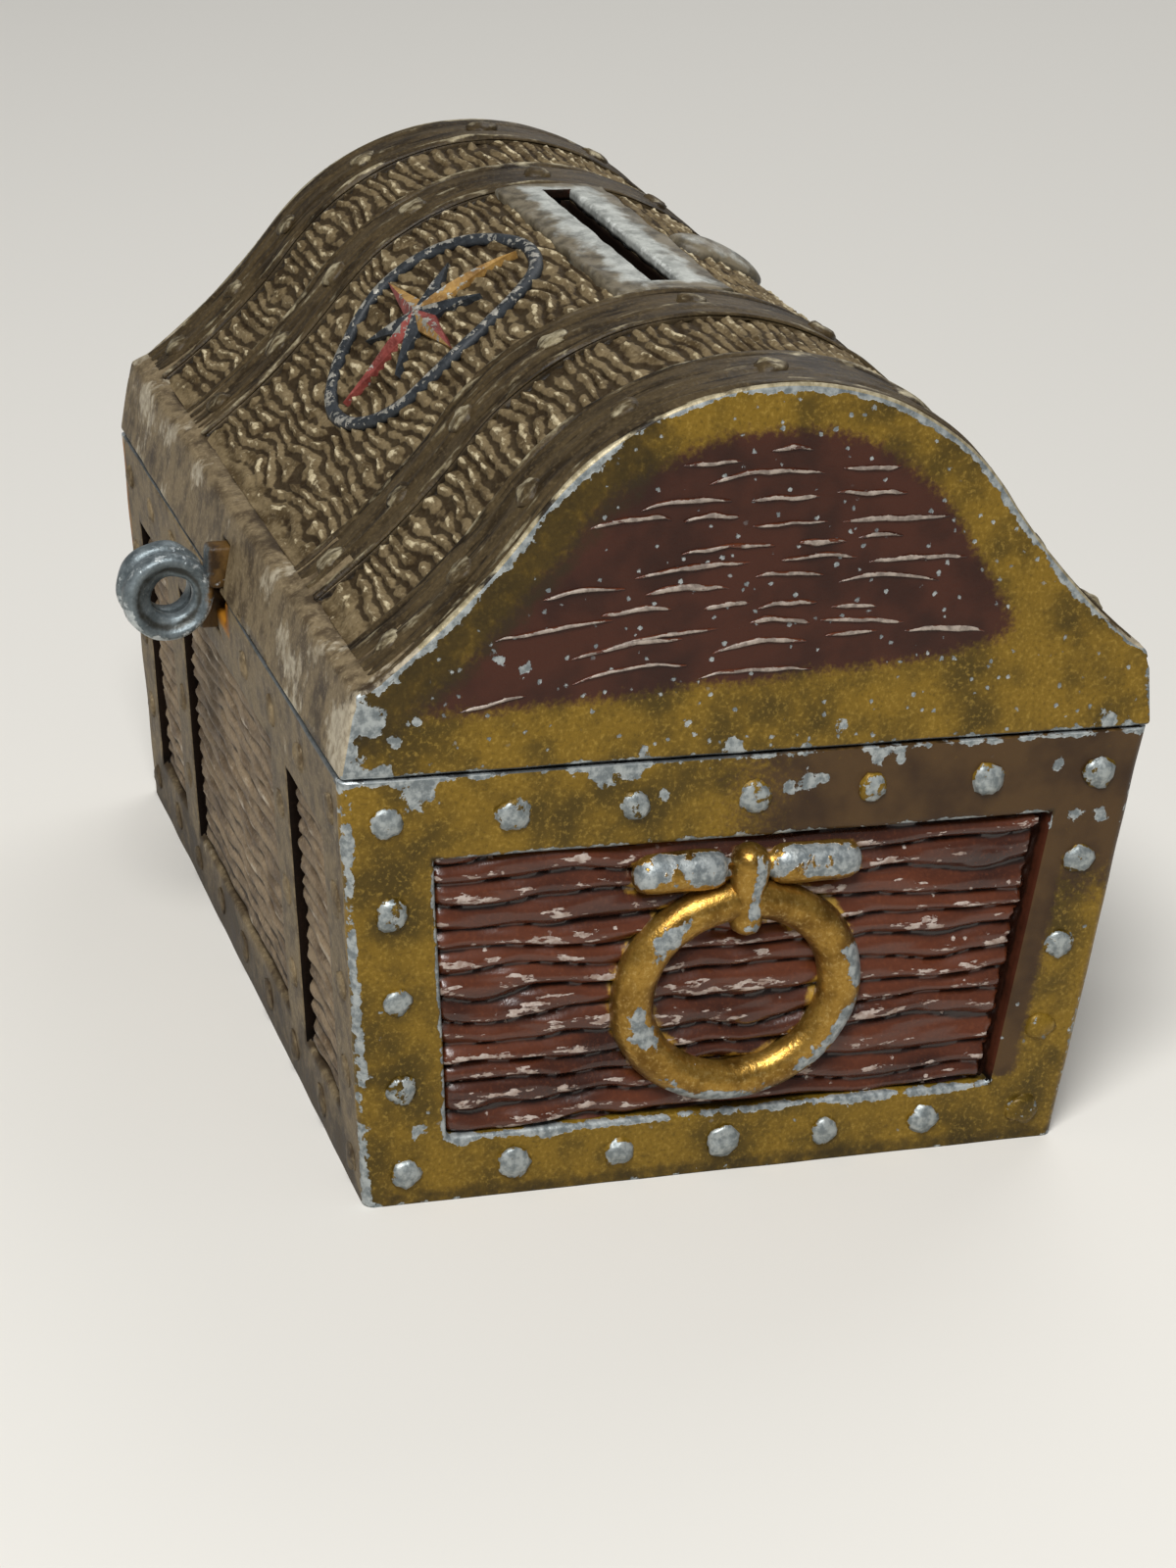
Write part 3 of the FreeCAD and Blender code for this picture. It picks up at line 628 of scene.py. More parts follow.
def makeLid():
    bm, ridges, hollows = roundedCasting("lid_casting", lidFaceKind)
    for vert in bm.verts:
        if vert.co.z > roof["footZ"] - 0.05:
            depth, out = underRoof(vert.co.y, vert.co.z)
            if -roof["facetOut"] < depth < roof["facetIn"]:
                vert.co += out * depth
    softenLip(bm)
    wear, grime, over = rubCasting(bm, ridges, hollows, lidWear)
    for vert in bm.verts:
        x, y, z = vert.co
        side = acrossEnd(x, y)
        if abs(x) > chest["halfLength"] - 1.0:
            vert[over] = brownPatch(side, z)
            vert[wear] += chipAt(side, z, lidChips)
            depth = underRoof(side, z)[0]
            tarnish = 0.85 * smoothStep(-3, -12, side) * smoothStep(7, 3, depth)
            smudge = 0.6 * bump(side, 9, 4) * bump(depth, 3, 2.5)
            smudge += 0.5 * bump(side, 15, 3) * bump(z, 38.5, 1.6)
            vert[grime] = max(tarnish, smudge)
        elif abs(y) > roof["footY"] - 1:
            patchy = ripple(6, x / 6, z / 3.5)
            vert[wear] += 1.1 * smoothStep(-0.1, 0.5, patchy) + 0.45 * smoothStep(10, 34, abs(x))
            vert[grime] += 0.6 * smoothStep(0.0, 0.5, -patchy)
    unevenSkin(bm, casting["uneven"], casting["unevenSize"], 1)
    looks = [agedGold, strapOlive, dustyTaupe, insideZinc, paintedGapShade]
    finishPiece(bm, "lidShell", "lid", looks, ["lid_casting"], 50)


makeLid()
print("lid made")


# Reliefs: a closed slab whose upper side follows a height function on its carrier

def reliefSlab(size, steps, place, shape, floor):
    columns, rows = (max(3, round(length / step)) for length, step in zip(size, steps))
    bm = bmesh.new()
    bmesh.ops.create_grid(bm, x_segments=columns, y_segments=rows, size=0.5)
    made = bmesh.ops.extrude_face_region(bm, geom=bm.faces[:])["geom"]
    raised = [item for item in made if isinstance(item, bmesh.types.BMVert)]
    bmesh.ops.translate(bm, vec=(0, 0, 1), verts=raised)

    def underneath(edge):
        first, last = (vert.co for vert in edge.verts)
        inner = abs(first.x) < 0.499 and abs(first.x - last.x) < 1e-6
        return inner and first.z < 0.5 and last.z < 0.5

    bmesh.ops.dissolve_edges(bm, edges=[edge for edge in bm.edges if underneath(edge)], use_verts=True)
    layers = paintLayers(bm)
    for vert in bm.verts:
        u, v = (vert.co.x + 0.5) * size[0], (vert.co.y + 0.5) * size[1]
        lift = floor
        if vert.co.z > 0.5:
            lift, *amounts = shape(u, v)
            for layer, amount in zip(layers, amounts):
                vert[layer] = amount
        vert.co = place(u, v, lift)
    return bm


# Plank panels in the bays: wavy ridges along the wall, with ragged ends and a gap at one side filled with
# painted shade

planks = dict(steps=(0.325, 0.25), floor=-0.78, endGap=0.85, crest=0.36)
endPlanks = dict(pitch=1.95, depth=0.95, sway=1.15, swayLength=8.0, fine=0.17, footDarkening=0.0)
wallPlanks = dict(pitch=1.55, depth=0.5, sway=0.8, swayLength=8.0, fine=0.16, footDarkening=0.55)


def panelCorners(node, out):
    # the outer face's corners, bottom left first, as seen from outside
    bm = cadCopy(node)
    face = max(bm.faces, key=lambda item: item.normal.dot(out))
    normal = face.normal.copy()
    right = Vector((0, 0, 1)).cross(out)
    corners = sorted((vert.co.copy() for vert in face.verts), key=lambda co: co.z)
    bm.free()
    low = sorted(corners[:2], key=lambda co: co.dot(right))
    high = sorted(corners[2:], key=lambda co: co.dot(right))
    return low, high, normal


def plankShape(style, seed, size, gapSide, extra, u, v):
    sway = style["sway"] * ripple(seed, u / style["swayLength"], v / 5)
    sway += 0.3 * style["sway"] * ripple(seed + 1, u / 3.5, v / 2.5)
    phase = (v + sway) / style["pitch"]
    swell = 0.8 + 0.35 * ripple(seed + 3, u / 4, math.floor(phase) * 3.7)
    across = phase - math.floor(phase) - planks["crest"]
    across /= -planks["crest"] if across < 0 else 1 - planks["crest"]
    ridge = (1 - across ** 2.1) * swell
    fine = ripple(seed + 2, u / 3.0, v / 0.45)
    lift = style["depth"] * (ridge - 0.6) + style["fine"] * fine
    edge = min(u, v, size[0] - u, size[1] - v)
    lift = max(lift - 0.2 * smoothStep(0.6, 0, edge), planks["floor"] + 0.06)
    wear = smoothStep(0.55, 0.95, ridge + 0.3 * fine)
    # painted shade in the grooves and along the panel's edges
    grime = 1.1 - 1.1 * smoothStep(0.0, 0.45, ridge) + 0.4 * smoothStep(0.8, 0, edge)
    # darker towards the foot of the wall panels
    grime += style["footDarkening"] * smoothStep(9, 0, v)
    fromGap = size[0] - u if gapSide > 0 else u
    ragged = planks["endGap"] * (0.75 + 0.55 * ripple(seed + 5, v / 0.8) + 0.3 * (ridge - 0.5))
    drop = smoothStep(ragged + 0.15, ragged - 0.1, fromGap)
    lift = lift * (1 - drop) + (planks["floor"] + 0.15) * drop
    # the gap at one side takes painted shade
    return lift, wear * (1 - drop), max(grime, 2 * drop), extra(u, v, size[0] / 2) * (1 - drop)


def plankPanel(node, out, seed, material, style, gapSide, extra=lambda u, v, halfPanel: 0.0):
    low, high, normal = panelCorners(node, out)
    size = ((low[1] - low[0]).length + (high[1] - high[0]).length) / 2, (high[0] - low[0]).length

    def place(u, v, lift):
        share = u / size[0]
        return low[0].lerp(low[1], share).lerp(high[0].lerp(high[1], share), v / size[1]) + normal * lift

    shape = partial(plankShape, style, seed, size, gapSide, extra)
    bm = reliefSlab(size, planks["steps"], place, shape, planks["floor"])
    finishPiece(bm, pieceName(node), "chest", [material], [node])


for seed, bay in enumerate(("left", "middle", "right")):
    plankPanel("front_planks_" + bay, Vector((0, -1, 0)), 20 + seed, dustyPlanks, wallPlanks, -1)
    plankPanel("back_planks_" + bay, Vector((0, 1, 0)), 30 + seed, dustyPlanks, wallPlanks, -1)


def endFrame(side, node):
    # the wall's own frame at the foot of its panel: x to the right, y up the wall, z outwards
    low, high, normal = panelCorners(side + "_end_planks", Vector((1 if side == "right" else -1, 0, 0)))
    right = (low[1] - low[0]).normalized()
    wallFrame = Matrix((right, normal.cross(right), normal)).transposed().to_4x4()
    wallFrame.translation = (low[0] + low[1]) / 2
    back = wallFrame.inverted()
    spots = [back @ (vert.co / mm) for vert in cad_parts[side + "_" + node].data.vertices]
    lowest = Vector(min(spot[axis] for spot in spots) for axis in range(3))
    highest = Vector(max(spot[axis] for spot in spots) for axis in range(3))
    return wallFrame, lowest, highest


handle = dict(
    ringWire=1.6, ringStretch=1.08, ringSides=16, ringSteps=88, barSteps=24, stapleSteps=20, uneven=0.1,
    unevenSize=2.2, sunk=-0.35, barHalf=8.4, barUp=1.0, barThick=0.8, barRound=0.5, drift=0.8,
    driftSize=1.6)


def ringPlace(side):
    # the ring's middle, with its top for height, and its reach up the wall
    wallFrame, low, high = endFrame(side, "handle_ring")
    up = (high.x - low.x) / 2 / handle["ringStretch"]
    return wallFrame, Vector(((low.x + high.x) / 2, low.y + up, high.z)), up


def goldDrift(side):
    # gold paint that ran from the ring and its bar on to the planks
    middle, up = ringPlace(side)[1:]
    wire = handle["ringWire"]

    def over(u, v, halfPanel):
        x, y = u - halfPanel - middle.x, v - middle.y
        gap = abs(math.hypot(x / handle["ringStretch"], y) - up + wire) - wire
        beside = max(0.0, abs(x) - handle["barHalf"])
        above = max(0.0, abs(y - up - handle["barUp"]) - handle["barThick"])
        barGap = math.hypot(beside, above) - handle["barRound"]
        ragged = 0.6 * ripple(9, u / handle["driftSize"], v / handle["driftSize"])
        return handle["drift"] * smoothStep(0.5, -0.3, min(gap, barGap) + ragged)

    return over


for seed, side in enumerate(("right", "left")):
    outward = Vector((1 - 2 * seed, 0, 0))
    plankPanel(side + "_end_planks", outward, 40 + seed, brownLacquer, endPlanks, 1, goldDrift(side))
print("plank panels made")


# Roof panels: short broken strokes along the chest, like bark

bark = dict(pitch=1.2, depth=0.48, steps=(0.24, 0.15))


def barkShape(seed, width, footEnds, u, v):
    sway = 0.4 * ripple(seed, u / 2.8, v / 1.6) + 1.2 * ripple(seed + 1, u / 7, v / 3.5)
    phase = (v + sway) / bark["pitch"]
    rows = (1 - abs(2 * (phase - math.floor(phase)) - 1)) ** 0.9
    dashes = smoothStep(-0.5, 0.1, ripple(seed + 2, u / 1.9, math.floor(phase) * 3.7))
    crumbs = ripple(seed + 6, u / 0.9, v / 0.6)
    grain = ripple(seed + 3, u / 0.6, v / 0.3)
    lump = ripple(seed + 4, u / 5, v / 4)
    ridge = rows * (0.4 + 0.6 * dashes) + 0.22 * crumbs + 0.2 * grain + 0.15 * lump
    foot = min(abs(v - end) for end in footEnds)
    fade = smoothStep(0.2, 2.6, foot + 1.1 * ripple(seed + 5, u / 1.6))
    lift = bark["depth"] * (ridge - 0.42) * (0.35 + 0.65 * fade) + 0.08 * lump
    edge = min(u, width - u)
    lift -= 0.15 * smoothStep(0.5, 0, edge)
    wear = smoothStep(0.5, 0.95, ridge) * (0.4 + 0.6 * fade)
    # painted shade in the grooves and along the panel's edges
    grime = 1.15 * smoothStep(0.6, 0.05, ridge) * (0.2 + 0.8 * fade)
    grime += 0.5 * smoothStep(0.8, 0, edge)
    return lift, wear, grime, 0.0


def roofPanel(node, left, right, start, end, seed, footEnds):
    size = right - left, end - start

    def place(u, v, lift):
        return onRoof(left + u, start + v, roof["plankFace"] + lift)

    shape = partial(barkShape, seed, size[0], footEnds)
    bm = reliefSlab(size, bark["steps"], place, shape, roof["bayFloor"] - roof["plankFace"] + 0.02)
    finishPiece(bm, pieceName(node), "lid", [roofBark], [node])


panelGap = 0.05
innerEdge = straps["centre"] - straps["width"] / 2 - panelGap
outerEdge = straps["centre"] + straps["width"] / 2 + panelGap
endEdge = chest["halfLength"] - straps["endWidth"] - panelGap
padHigh = boxOf("coin_slot_pad")[1]
padRun = roof["domeRadius"] * math.asin((padHigh.y + panelGap) / roof["domeRadius"])
footRun = curve["run"] - 0.02
roofPanel("roof_planks_left", -endEdge, -outerEdge, -footRun, footRun, 50, (0, 2 * footRun))
roofPanel("roof_planks_right", outerEdge, endEdge, -footRun, footRun, 51, (0, 2 * footRun))
roofPanel("roof_planks_middle_front", -innerEdge, innerEdge, -footRun, -padRun, 52, (0,))
roofPanel("roof_planks_middle_back", -innerEdge, innerEdge, padRun, footRun, 53, (footRun - padRun,))
print("roof panels made")


# Strap skins: a thin raised line along each side and soft streaks between

strapSkin = dict(bead=0.2, streak=0.2, steps=(0.18, 0.5), floor=-0.05, endInset=0.35)


def strapShape(seed, width, beads, u, v):
    across = 2 * u / width - 1
    waver = 0.07 * ripple(seed, v / 7) + 0.05 * ripple(seed + 1, v / 2.2)
    bead = sum(bump(across, spot + waver, 0.09) for spot in beads)
    bead *= 0.75 + 0.5 * ripple(seed + 4, v / 3, across)
    channel = sum(bump(across, spot * 0.8 + waver, 0.08) for spot in beads)
    weave = 0.5 * ripple(seed + 5, v / 6)
    streak = 1.3 * ripple(seed + 2, u / 0.8 + weave, v / 12) + 0.6 * ripple(seed + 3, u / 0.4, v / 5)
    lift = 0.06 + strapSkin["bead"] * bead + strapSkin["streak"] * streak - 0.14 * channel
    lift -= 0.14 * smoothStep(0.3, 0, min(u, width - u))
    wear = 0.95 * bead + 0.65 * smoothStep(0.1, 0.7, streak)
    # painted shade in the channels and where the streaks dip
    grime = 0.8 * channel + 0.9 * smoothStep(0.0, 0.5, -streak)
    return lift, wear, grime, 0.0


def strapPiece(name, left, right, beads, seed):
    width = right - left
    size = width, 2 * footRun

    def place(u, v, lift):
        return onRoof(left + u, v - footRun, lift)

    shape = partial(strapShape, seed, width, beads)
    bm = reliefSlab(size, strapSkin["steps"], place, shape, strapSkin["floor"])
    finishPiece(bm, name, "lid", [strapOlive])


halfStrap = straps["width"] / 2
skinEnd = chest["halfLength"] - strapSkin["endInset"]
skinWidth = straps["endWidth"] - strapSkin["endInset"]
strapPiece("leftEndStrap", -skinEnd, -skinEnd + skinWidth, (0.9,), 60)
strapPiece("leftInnerStrap", -straps["centre"] - halfStrap, -straps["centre"] + halfStrap, (-0.9, 0.9), 61)
strapPiece("rightInnerStrap", straps["centre"] - halfStrap, straps["centre"] + halfStrap, (-0.9, 0.9), 62)
strapPiece("rightEndStrap", skinEnd - skinWidth, skinEnd, (-0.9,), 63)
print("straps made")


# Carved strokes on the lid's ends

strokes = dict(
    firstRow=5.4, underCrown=4.2, start=-27, end=24, rowStep=1.62, width=0.48, rise=0.2, short=3.2,
    long=9.5, gap=2.6)


def strokeRows(draw):
    rows = []
    height = chest["seam"] + strokes["firstRow"]
    while height < roof["crown"] - strokes["underCrown"]:
        side = strokes["start"] + draw.uniform(0, 4)
        while side < strokes["end"]:
            length = draw.uniform(strokes["short"], strokes["long"])
            middle = side + length / 2
            lift = height + draw.uniform(-0.6, 0.6)
            ends = (middle - 0.45 * length, middle + 0.45 * length)
            if min(brownPatch(end, lift) for end in ends) > 0.7:
                rows.append((middle, lift, length))
            side += length + draw.uniform(0.6, strokes["gap"])
        height += strokes["rowStep"]
    return rows


def lunetteStrokes(name, hand, seed):
    draw = random.Random(seed)
    bm = bmesh.new()
    for middle, height, length in strokeRows(draw):
        arch = draw.uniform(0.0, 0.07) * length
        slope = draw.uniform(-0.05, 0.06) - 0.005 * (middle - 4)
        thick = strokes["width"] * draw.uniform(0.7, 1.2)
        shift = draw.uniform(0, 40)
        for vert in added(bm, bmesh.ops.create_uvsphere, u_segments=6, v_segments=18, radius=1):
            out, up, along = vert.co
            side = middle + along * length / 2
            half = thick / 2 * (0.9 + 0.5 * ripple(seed, side / 1.1, shift))
            z = height - arch * along * along + slope * (side - middle)
            z += 0.2 * ripple(seed + 1, side / 1.6, shift)
            vert.co = (hand * (chest["halfLength"] + out * strokes["rise"]), hand * side, z + up * half)
    wear, grime = paintLayers(bm)[:2]
    for vert in bm.verts:
        vert[wear] = smoothStep(0.04, 0.14, abs(vert.co.x) - chest["halfLength"])
        vert[grime] = 0.3
    finishPiece(bm, name, "lid", [strokeLacquer])


lunetteStrokes("rightLunetteStrokes", 1, 70)
lunetteStrokes("leftLunetteStrokes", -1, 71)
print("lunette strokes made")


# Rivets: low uneven domes where the frame has its rivet heads

rivets = dict(
    reach=1.3, rise=0.62, sides=16, rings=10, skirt=-0.12, uneven=0.3, paintedBelow=16, paintedBehind=22)


def rivetPlaces(node):
    # the seat and outward way of each head, from the largest face of each loose solid
    bm = cadCopy(node)
    left = set(bm.verts)
    places = []
    while left:
        group, front = set(), [left.pop()]
        while front:
            vert = front.pop()
            group.add(vert)
            near = {edge.other_vert(vert) for edge in vert.link_edges} - group
            front += near
            group |= near
        left -= group
        seat = max({face for vert in group for face in vert.link_faces}, key=lambda face: face.calc_area())
        places.append((seat.calc_center_median().copy(), -seat.normal))
    bm.free()
    return sorted(places, key=lambda item: tuple(round(value, 2) for value in item[0]))


def rivetHeads(node, body, material, seed, bareFrom, bareTo, low=1.0):
    draw = random.Random(seed)
    bm = bmesh.new()
    wear, grime = paintLayers(bm)[:2]
    for seat, out in rivetPlaces(node):
        reach = rivets["reach"] * draw.uniform(0.88, 1.08)
        rise = low * rivets["rise"] * draw.uniform(0.8, 1.05)
        # heads low on the long walls are darker
        lowDarkening = 0.75 * smoothStep(12, 0, seat.z) * abs(out.y)
        bare = draw.uniform(bareFrom, bareTo)
        if seat.z < rivets["paintedBelow"] and seat.y * out.x > rivets["paintedBehind"]:
            bare = 0.0      # the lower heads of the back column kept their paint
        turn = out.to_track_quat("Z", "Y").to_matrix()
        sphere = {"u_segments": rivets["sides"], "v_segments": rivets["rings"], "radius": 1}
        for vert in added(bm, bmesh.ops.create_uvsphere, **sphere):
            x, y, z = vert.co
            rough = ripple(seed, *(vert.co * 1.3 + seat)) + 0.5 * ripple(seed, *(vert.co * 3 + seat))
            dent = 1 + rivets["uneven"] * rough
            vert[wear] = bare * smoothStep(-0.1, 0.7, z)
            # painted shade round the foot of each head
            vert[grime] = lowDarkening + 0.7 * smoothStep(0.3, 0.0, z)
            height = rise * z * dent if z > 0 else rivets["skirt"]
            vert.co = seat + turn @ Vector((reach * x * dent, reach * y * dent, height))
    finishPiece(bm, pieceName(node), body, [material], [node])


# Gold paint with its tops rubbed to the metal, used on the heads of the end frames
rivetGold = wornPaint(
    goldLook, name="RubbedRivetGold", chipSize=1.0, chipStart=0.62, wearGain=0.4, speckShare=0.0,
    bare=("#737a7b", "#a3a8a6"))
for seed, side in enumerate(("right", "left")):
    rivetHeads(side + "_end_rivets", "chest", rivetGold, 80 + seed, 0.5, 0.85)
for seed, side in enumerate(("front", "back")):
    rivetHeads(side + "_rivets", "chest", dustyTaupe, 82 + seed, 0.0, 0.3, 0.6)
for seed, strap in enumerate(("left_end", "left_inner", "right_inner", "right_end")):
    rivetHeads(strap + "_strap_rivets", "lid", strapOlive, 84 + seed, 0.7, 1.25)
print("rivets made")


# Ring handles: a ring in relief, a waisted bar above it and the staple that holds both

# Where the ring is rubbed bare: turn in degrees, spread, and how far out on the wire
ringRubs = [(137, 11, 0.1), (192, 17, -0.1), (262, 30, 0.75), (12, 14, 0.6), (-22, 13, 0.5), (-45, 9, 0.3)]


def castSkin(bm, wallFrame, seed, bare):
    # uneven hand-finished surface, flat underneath, then placed on its wall
    wear, grime = paintLayers(bm)[:2]
    unevenSkin(bm, handle["uneven"], handle["unevenSize"], seed)
    for vert in bm.verts:
        vert[wear] = bare(vert.co)
        # painted shade where the piece meets the wall
        vert[grime] = 0.8 * smoothStep(0.7, -0.2, vert.co.z)
        vert.co.z = max(vert.co.z, handle["sunk"])
    bmesh.ops.transform(bm, matrix=wallFrame, verts=bm.verts)


def makeRing(side, seed):
    wallFrame, middle, up = ringPlace(side)
    wire = handle["ringWire"]
    reach = up - wire
    bm = bmesh.new()
    bmesh.ops.create_circle(bm, segments=handle["ringSides"], radius=wire)
    bmesh.ops.rotate(bm, verts=bm.verts, cent=(0, 0, 0), matrix=Matrix.Rotation(math.pi / 2, 3, "X"))
    bmesh.ops.translate(bm, verts=bm.verts, vec=(reach, 0, middle.z - wire))
    spinRound(bm, (0, 0, 1), handle["ringSteps"])
    bmesh.ops.recalc_face_normals(bm, faces=bm.faces)
    bmesh.ops.scale(bm, verts=bm.verts, vec=(handle["ringStretch"], 1, 1))
    bmesh.ops.translate(bm, verts=bm.verts, vec=(middle.x, middle.y, 0))

    def bare(co):
        x, y = (co.x - middle.x) / handle["ringStretch"], co.y - middle.y
        turn = math.degrees(math.atan2(y, x))
        offset = (math.hypot(x, y) - reach) / wire
        rubs = 0.0
        for place, spread, out in ringRubs:
            swing = (turn - place + 180) % 360 - 180
            rubs = max(rubs, bump(swing, 0, spread) * bump(offset, out, 0.5))
        return 1.9 * rubs * smoothStep(-0.3, 0.6, co.z)

    castSkin(bm, wallFrame, seed, bare)
    node = side + "_handle_ring"
    finishPiece(bm, pieceName(node), "chest", [brightGold], [node])


def spunPiece(outline, steps, axis):
    # a closed form from an outline of places along the axis and radii there
    bm = bmesh.new()
    verts = [bm.verts.new(axis * along + Vector((0, 0, radius))) for along, radius in outline]
    for first, last in zip(verts[:-1], verts[1:]):
        bm.edges.new((first, last))
    spinRound(bm, axis, steps)
    bmesh.ops.remove_doubles(bm, verts=bm.verts, dist=0.001)
    bmesh.ops.recalc_face_normals(bm, faces=bm.faces)
    return bm


# Half of the bar from its tip to its waist, mirrored below, and the staple from foot to top, as shares
halfBar = [(0.0, 0.0), (0.015, 0.45), (0.05, 0.78), (0.12, 0.95), (0.22, 1.0), (0.35, 0.98), (0.48, 1.0),
           (0.62, 1.02), (0.72, 0.97), (0.77, 0.84), (0.8, 0.62), (0.86, 0.56), (0.93, 0.55), (1.0, 0.55)]
stapleOutline = [(-1.0, 0.0), (-0.97, 0.35), (-0.88, 0.66), (-0.72, 0.82), (-0.5, 0.84), (-0.25, 0.78),
                 (0.0, 0.8), (0.25, 0.92), (0.5, 1.0), (0.72, 0.98), (0.88, 0.76), (0.97, 0.42), (1.0, 0.0)]
barOutline = [(place - 1, radius) for place, radius in halfBar]
barOutline += [(-place, radius) for place, radius in barOutline[-2::-1]]


def makeGrip(side, part, axis, outline, steps, seed, rubs):
    # the bar or the staple, spun about one axis of its wall and filling the frame's box
    node = side + "_handle_" + part
    wallFrame, low, high = endFrame(side, "handle_" + part)
    middle, half = (low + high) / 2, (high - low) / 2
    thick = half[1 - axis]
    spread = [(half[axis] * place, thick * radius) for place, radius in outline]
    bm = spunPiece(spread, steps, Vector((1 - axis, axis, 0)))
    bmesh.ops.translate(bm, verts=bm.verts, vec=(middle.x, middle.y, high.z - thick))
    castSkin(bm, wallFrame, seed, lambda co: rubs(co.x, co.y - middle.y, co.z))
    finishPiece(bm, pieceName(node), "chest", [brightGold], [node])


def barRubs(x, y, z):
    # bare on its upper side
    return 1.05 * smoothStep(-1.2, -0.2, y) * smoothStep(0.2, 0.8, z)


def stapleRubs(x, y, z):
    # bare on its top, more to the right
    return 1.1 * smoothStep(1.4, 2.2, z) * smoothStep(-0.5, 0.8, x + 0.6)


for seed, side in enumerate(("right", "left")):
    makeRing(side, 90 + seed)
    makeGrip(side, "bar", 0, barOutline, handle["barSteps"], 92 + seed, barRubs)
    makeGrip(side, "staple", 1, stapleOutline, handle["stapleSteps"], 94 + seed, stapleRubs)
print("handles made")


# Padlock eyes: dished rings on short necks, one on the lid and one on the box

eye = dict(
    reach=3.75, hole=1.75, thick=1.9, steps=56, uneven=0.1, unevenSize=1.6, neckRound=0.4, neckHeight=3.6,
    neckFromSeam=0.3, lean=0.35)
# Its section, from the back of the hole round the rim: shares of the thickness and of the hole's radius
eyeSection = [(-0.5, 1.06), (-0.5, 1.78), (-0.4, 2.02), (-0.1, 2.14), (0.25, 2.1), (0.46, 1.96), (0.5, 1.8),
              (0.44, 1.62), (0.3, 1.46), (0.22, 1.28), (0.16, 1.1), (0.04, 1.0), (-0.36, 1.0)]


def makeEye(node, body, hand, rootLow):
    low, high = boxOf(node)
    middle = Vector(((low.x + high.x) / 2, low.y + eye["reach"], low.z + eye["reach"]))
    section = [(hand * eye["thick"] * x, eye["hole"] * radius) for x, radius in eyeSection]
    bm = spunPiece(section + section[:1], eye["steps"], Vector((1, 0, 0)))
    for vert in bm.verts:
        radius = math.hypot(vert.co.y, vert.co.z)
        vert.co.y -= eye["lean"] * smoothStep(eye["hole"] * 1.3, eye["reach"], radius)
    bmesh.ops.translate(bm, verts=bm.verts, vec=middle)
    neck = added(bm, bmesh.ops.create_cube, size=1)
    start, end = middle.y + eye["hole"] * 1.5, high.y
    bmesh.ops.scale(bm, verts=neck, vec=(eye["thick"] * 0.98, end - start, eye["neckHeight"]))
    bmesh.ops.translate(bm, verts=neck, vec=(middle.x, (start + end) / 2, rootLow + eye["neckHeight"] / 2))
    rim = [edge for edge in bm.edges if edge.verts[0] in neck and edge.verts[1] in neck]
    roundEdges(bm, rim, eye["neckRound"])
    wear, grime, over = paintLayers(bm)
    for vert in bm.verts:
        x, y, z = vert.co
        radius = math.hypot(y - middle.y + eye["lean"], z - middle.z)
        # gold paint on the neck, darkened as painted shade
        vert[over] = smoothStep(middle.y + eye["reach"] * 0.55, middle.y + eye["reach"] * 0.9, y)
        vert[wear] = bump(radius, 3.5, 0.4) * (0.5 + 0.5 * smoothStep(0.5, -1.5, z - middle.z))
        # dirt and painted shade in the dish and round the rim's foot
        vert[grime] = 0.85 * bump(radius, 2.5, 0.35) + 0.5 * bump(radius, 3.9, 0.15)
    unevenSkin(bm, eye["uneven"], eye["unevenSize"], 97)
    finishPiece(bm, pieceName(node), body, [bareZinc], [node], 60)


makeEye("lid_padlock_eye", "lid", 1, chest["seam"] + eye["neckFromSeam"])
makeEye("box_padlock_eye", "chest", -1, chest["boxHeight"] - eye["neckFromSeam"] - eye["neckHeight"])
print("padlock eyes made")


# Coin-slot pad and oval boss: bare metal on the crown

pad = dict(
    edgeRound=0.3, step=0.6, uneven=0.1, ragged=0.5, slotHalf=1.35, slotEnd=15.0, sharpFrom=40,
    unevenSize=2.2, sideBorder=(1.7, 4.2), endBorder=(13.6, 16.2))


def makePad():
    bm = cadCopy("coin_slot_pad")
    corners = sharpEdges(bm, pad["sharpFrom"])
    ridges = nearness(alongEdges([edge for edge in corners if edge.is_convex]))
    for face in bm.faces:
        spot = face.calc_center_median()
        wall = abs(face.normal.z) < 0.4 and abs(spot.y) < padHigh.y - 1 and abs(spot.x) < pad["slotEnd"]
        # the slot's walls take the painted shade
        face.material_index = int(wall and face.normal.y > -0.5)
    top = [edge for edge in corners if min(vert.co.z for vert in edge.verts) > padHigh.z - 0.1]
    roundEdges(bm, top, pad["edgeRound"])
    dice(bm, pad["step"])
    wear, grime, over = paintLayers(bm)
    bm.normal_update()
    for vert in bm.verts:
        x, y, z = vert.co
        border = max(smoothStep(*pad["sideBorder"], abs(y)), smoothStep(*pad["endBorder"], abs(x)))
        vert[wear] = 0.8 * bump(ridges.find(vert.co)[2], 0, 0.4) * (1 - border)
        vert[over] = 0.88 * border + 0.5 * ripple(100, x / 2, y / 1.4)
        inSlot = abs(y) < pad["slotHalf"]
        # painted shade deeper in the slot
        vert[grime] = 0.2 * border + 1.4 * smoothStep(0.2, 1.3, padHigh.z - z) * inSlot
        vert.co += vert.normal * pad["uneven"] * ripple(98, *(vert.co / pad["unevenSize"]))
        if abs(y) > 2.0:
            vert.co.z -= pad["ragged"] * smoothStep(2.2, 4.8, abs(y)) * (0.6 + 0.6 * ripple(99, x / 2.2, y))
    finishPiece(bm, "coinSlotPad", "lid", [slotZinc, paintedGapShade], ["coin_slot_pad"], 55)


boss = dict(rise=1.35, roundness=0.7, sunk=-0.2, uneven=0.06)


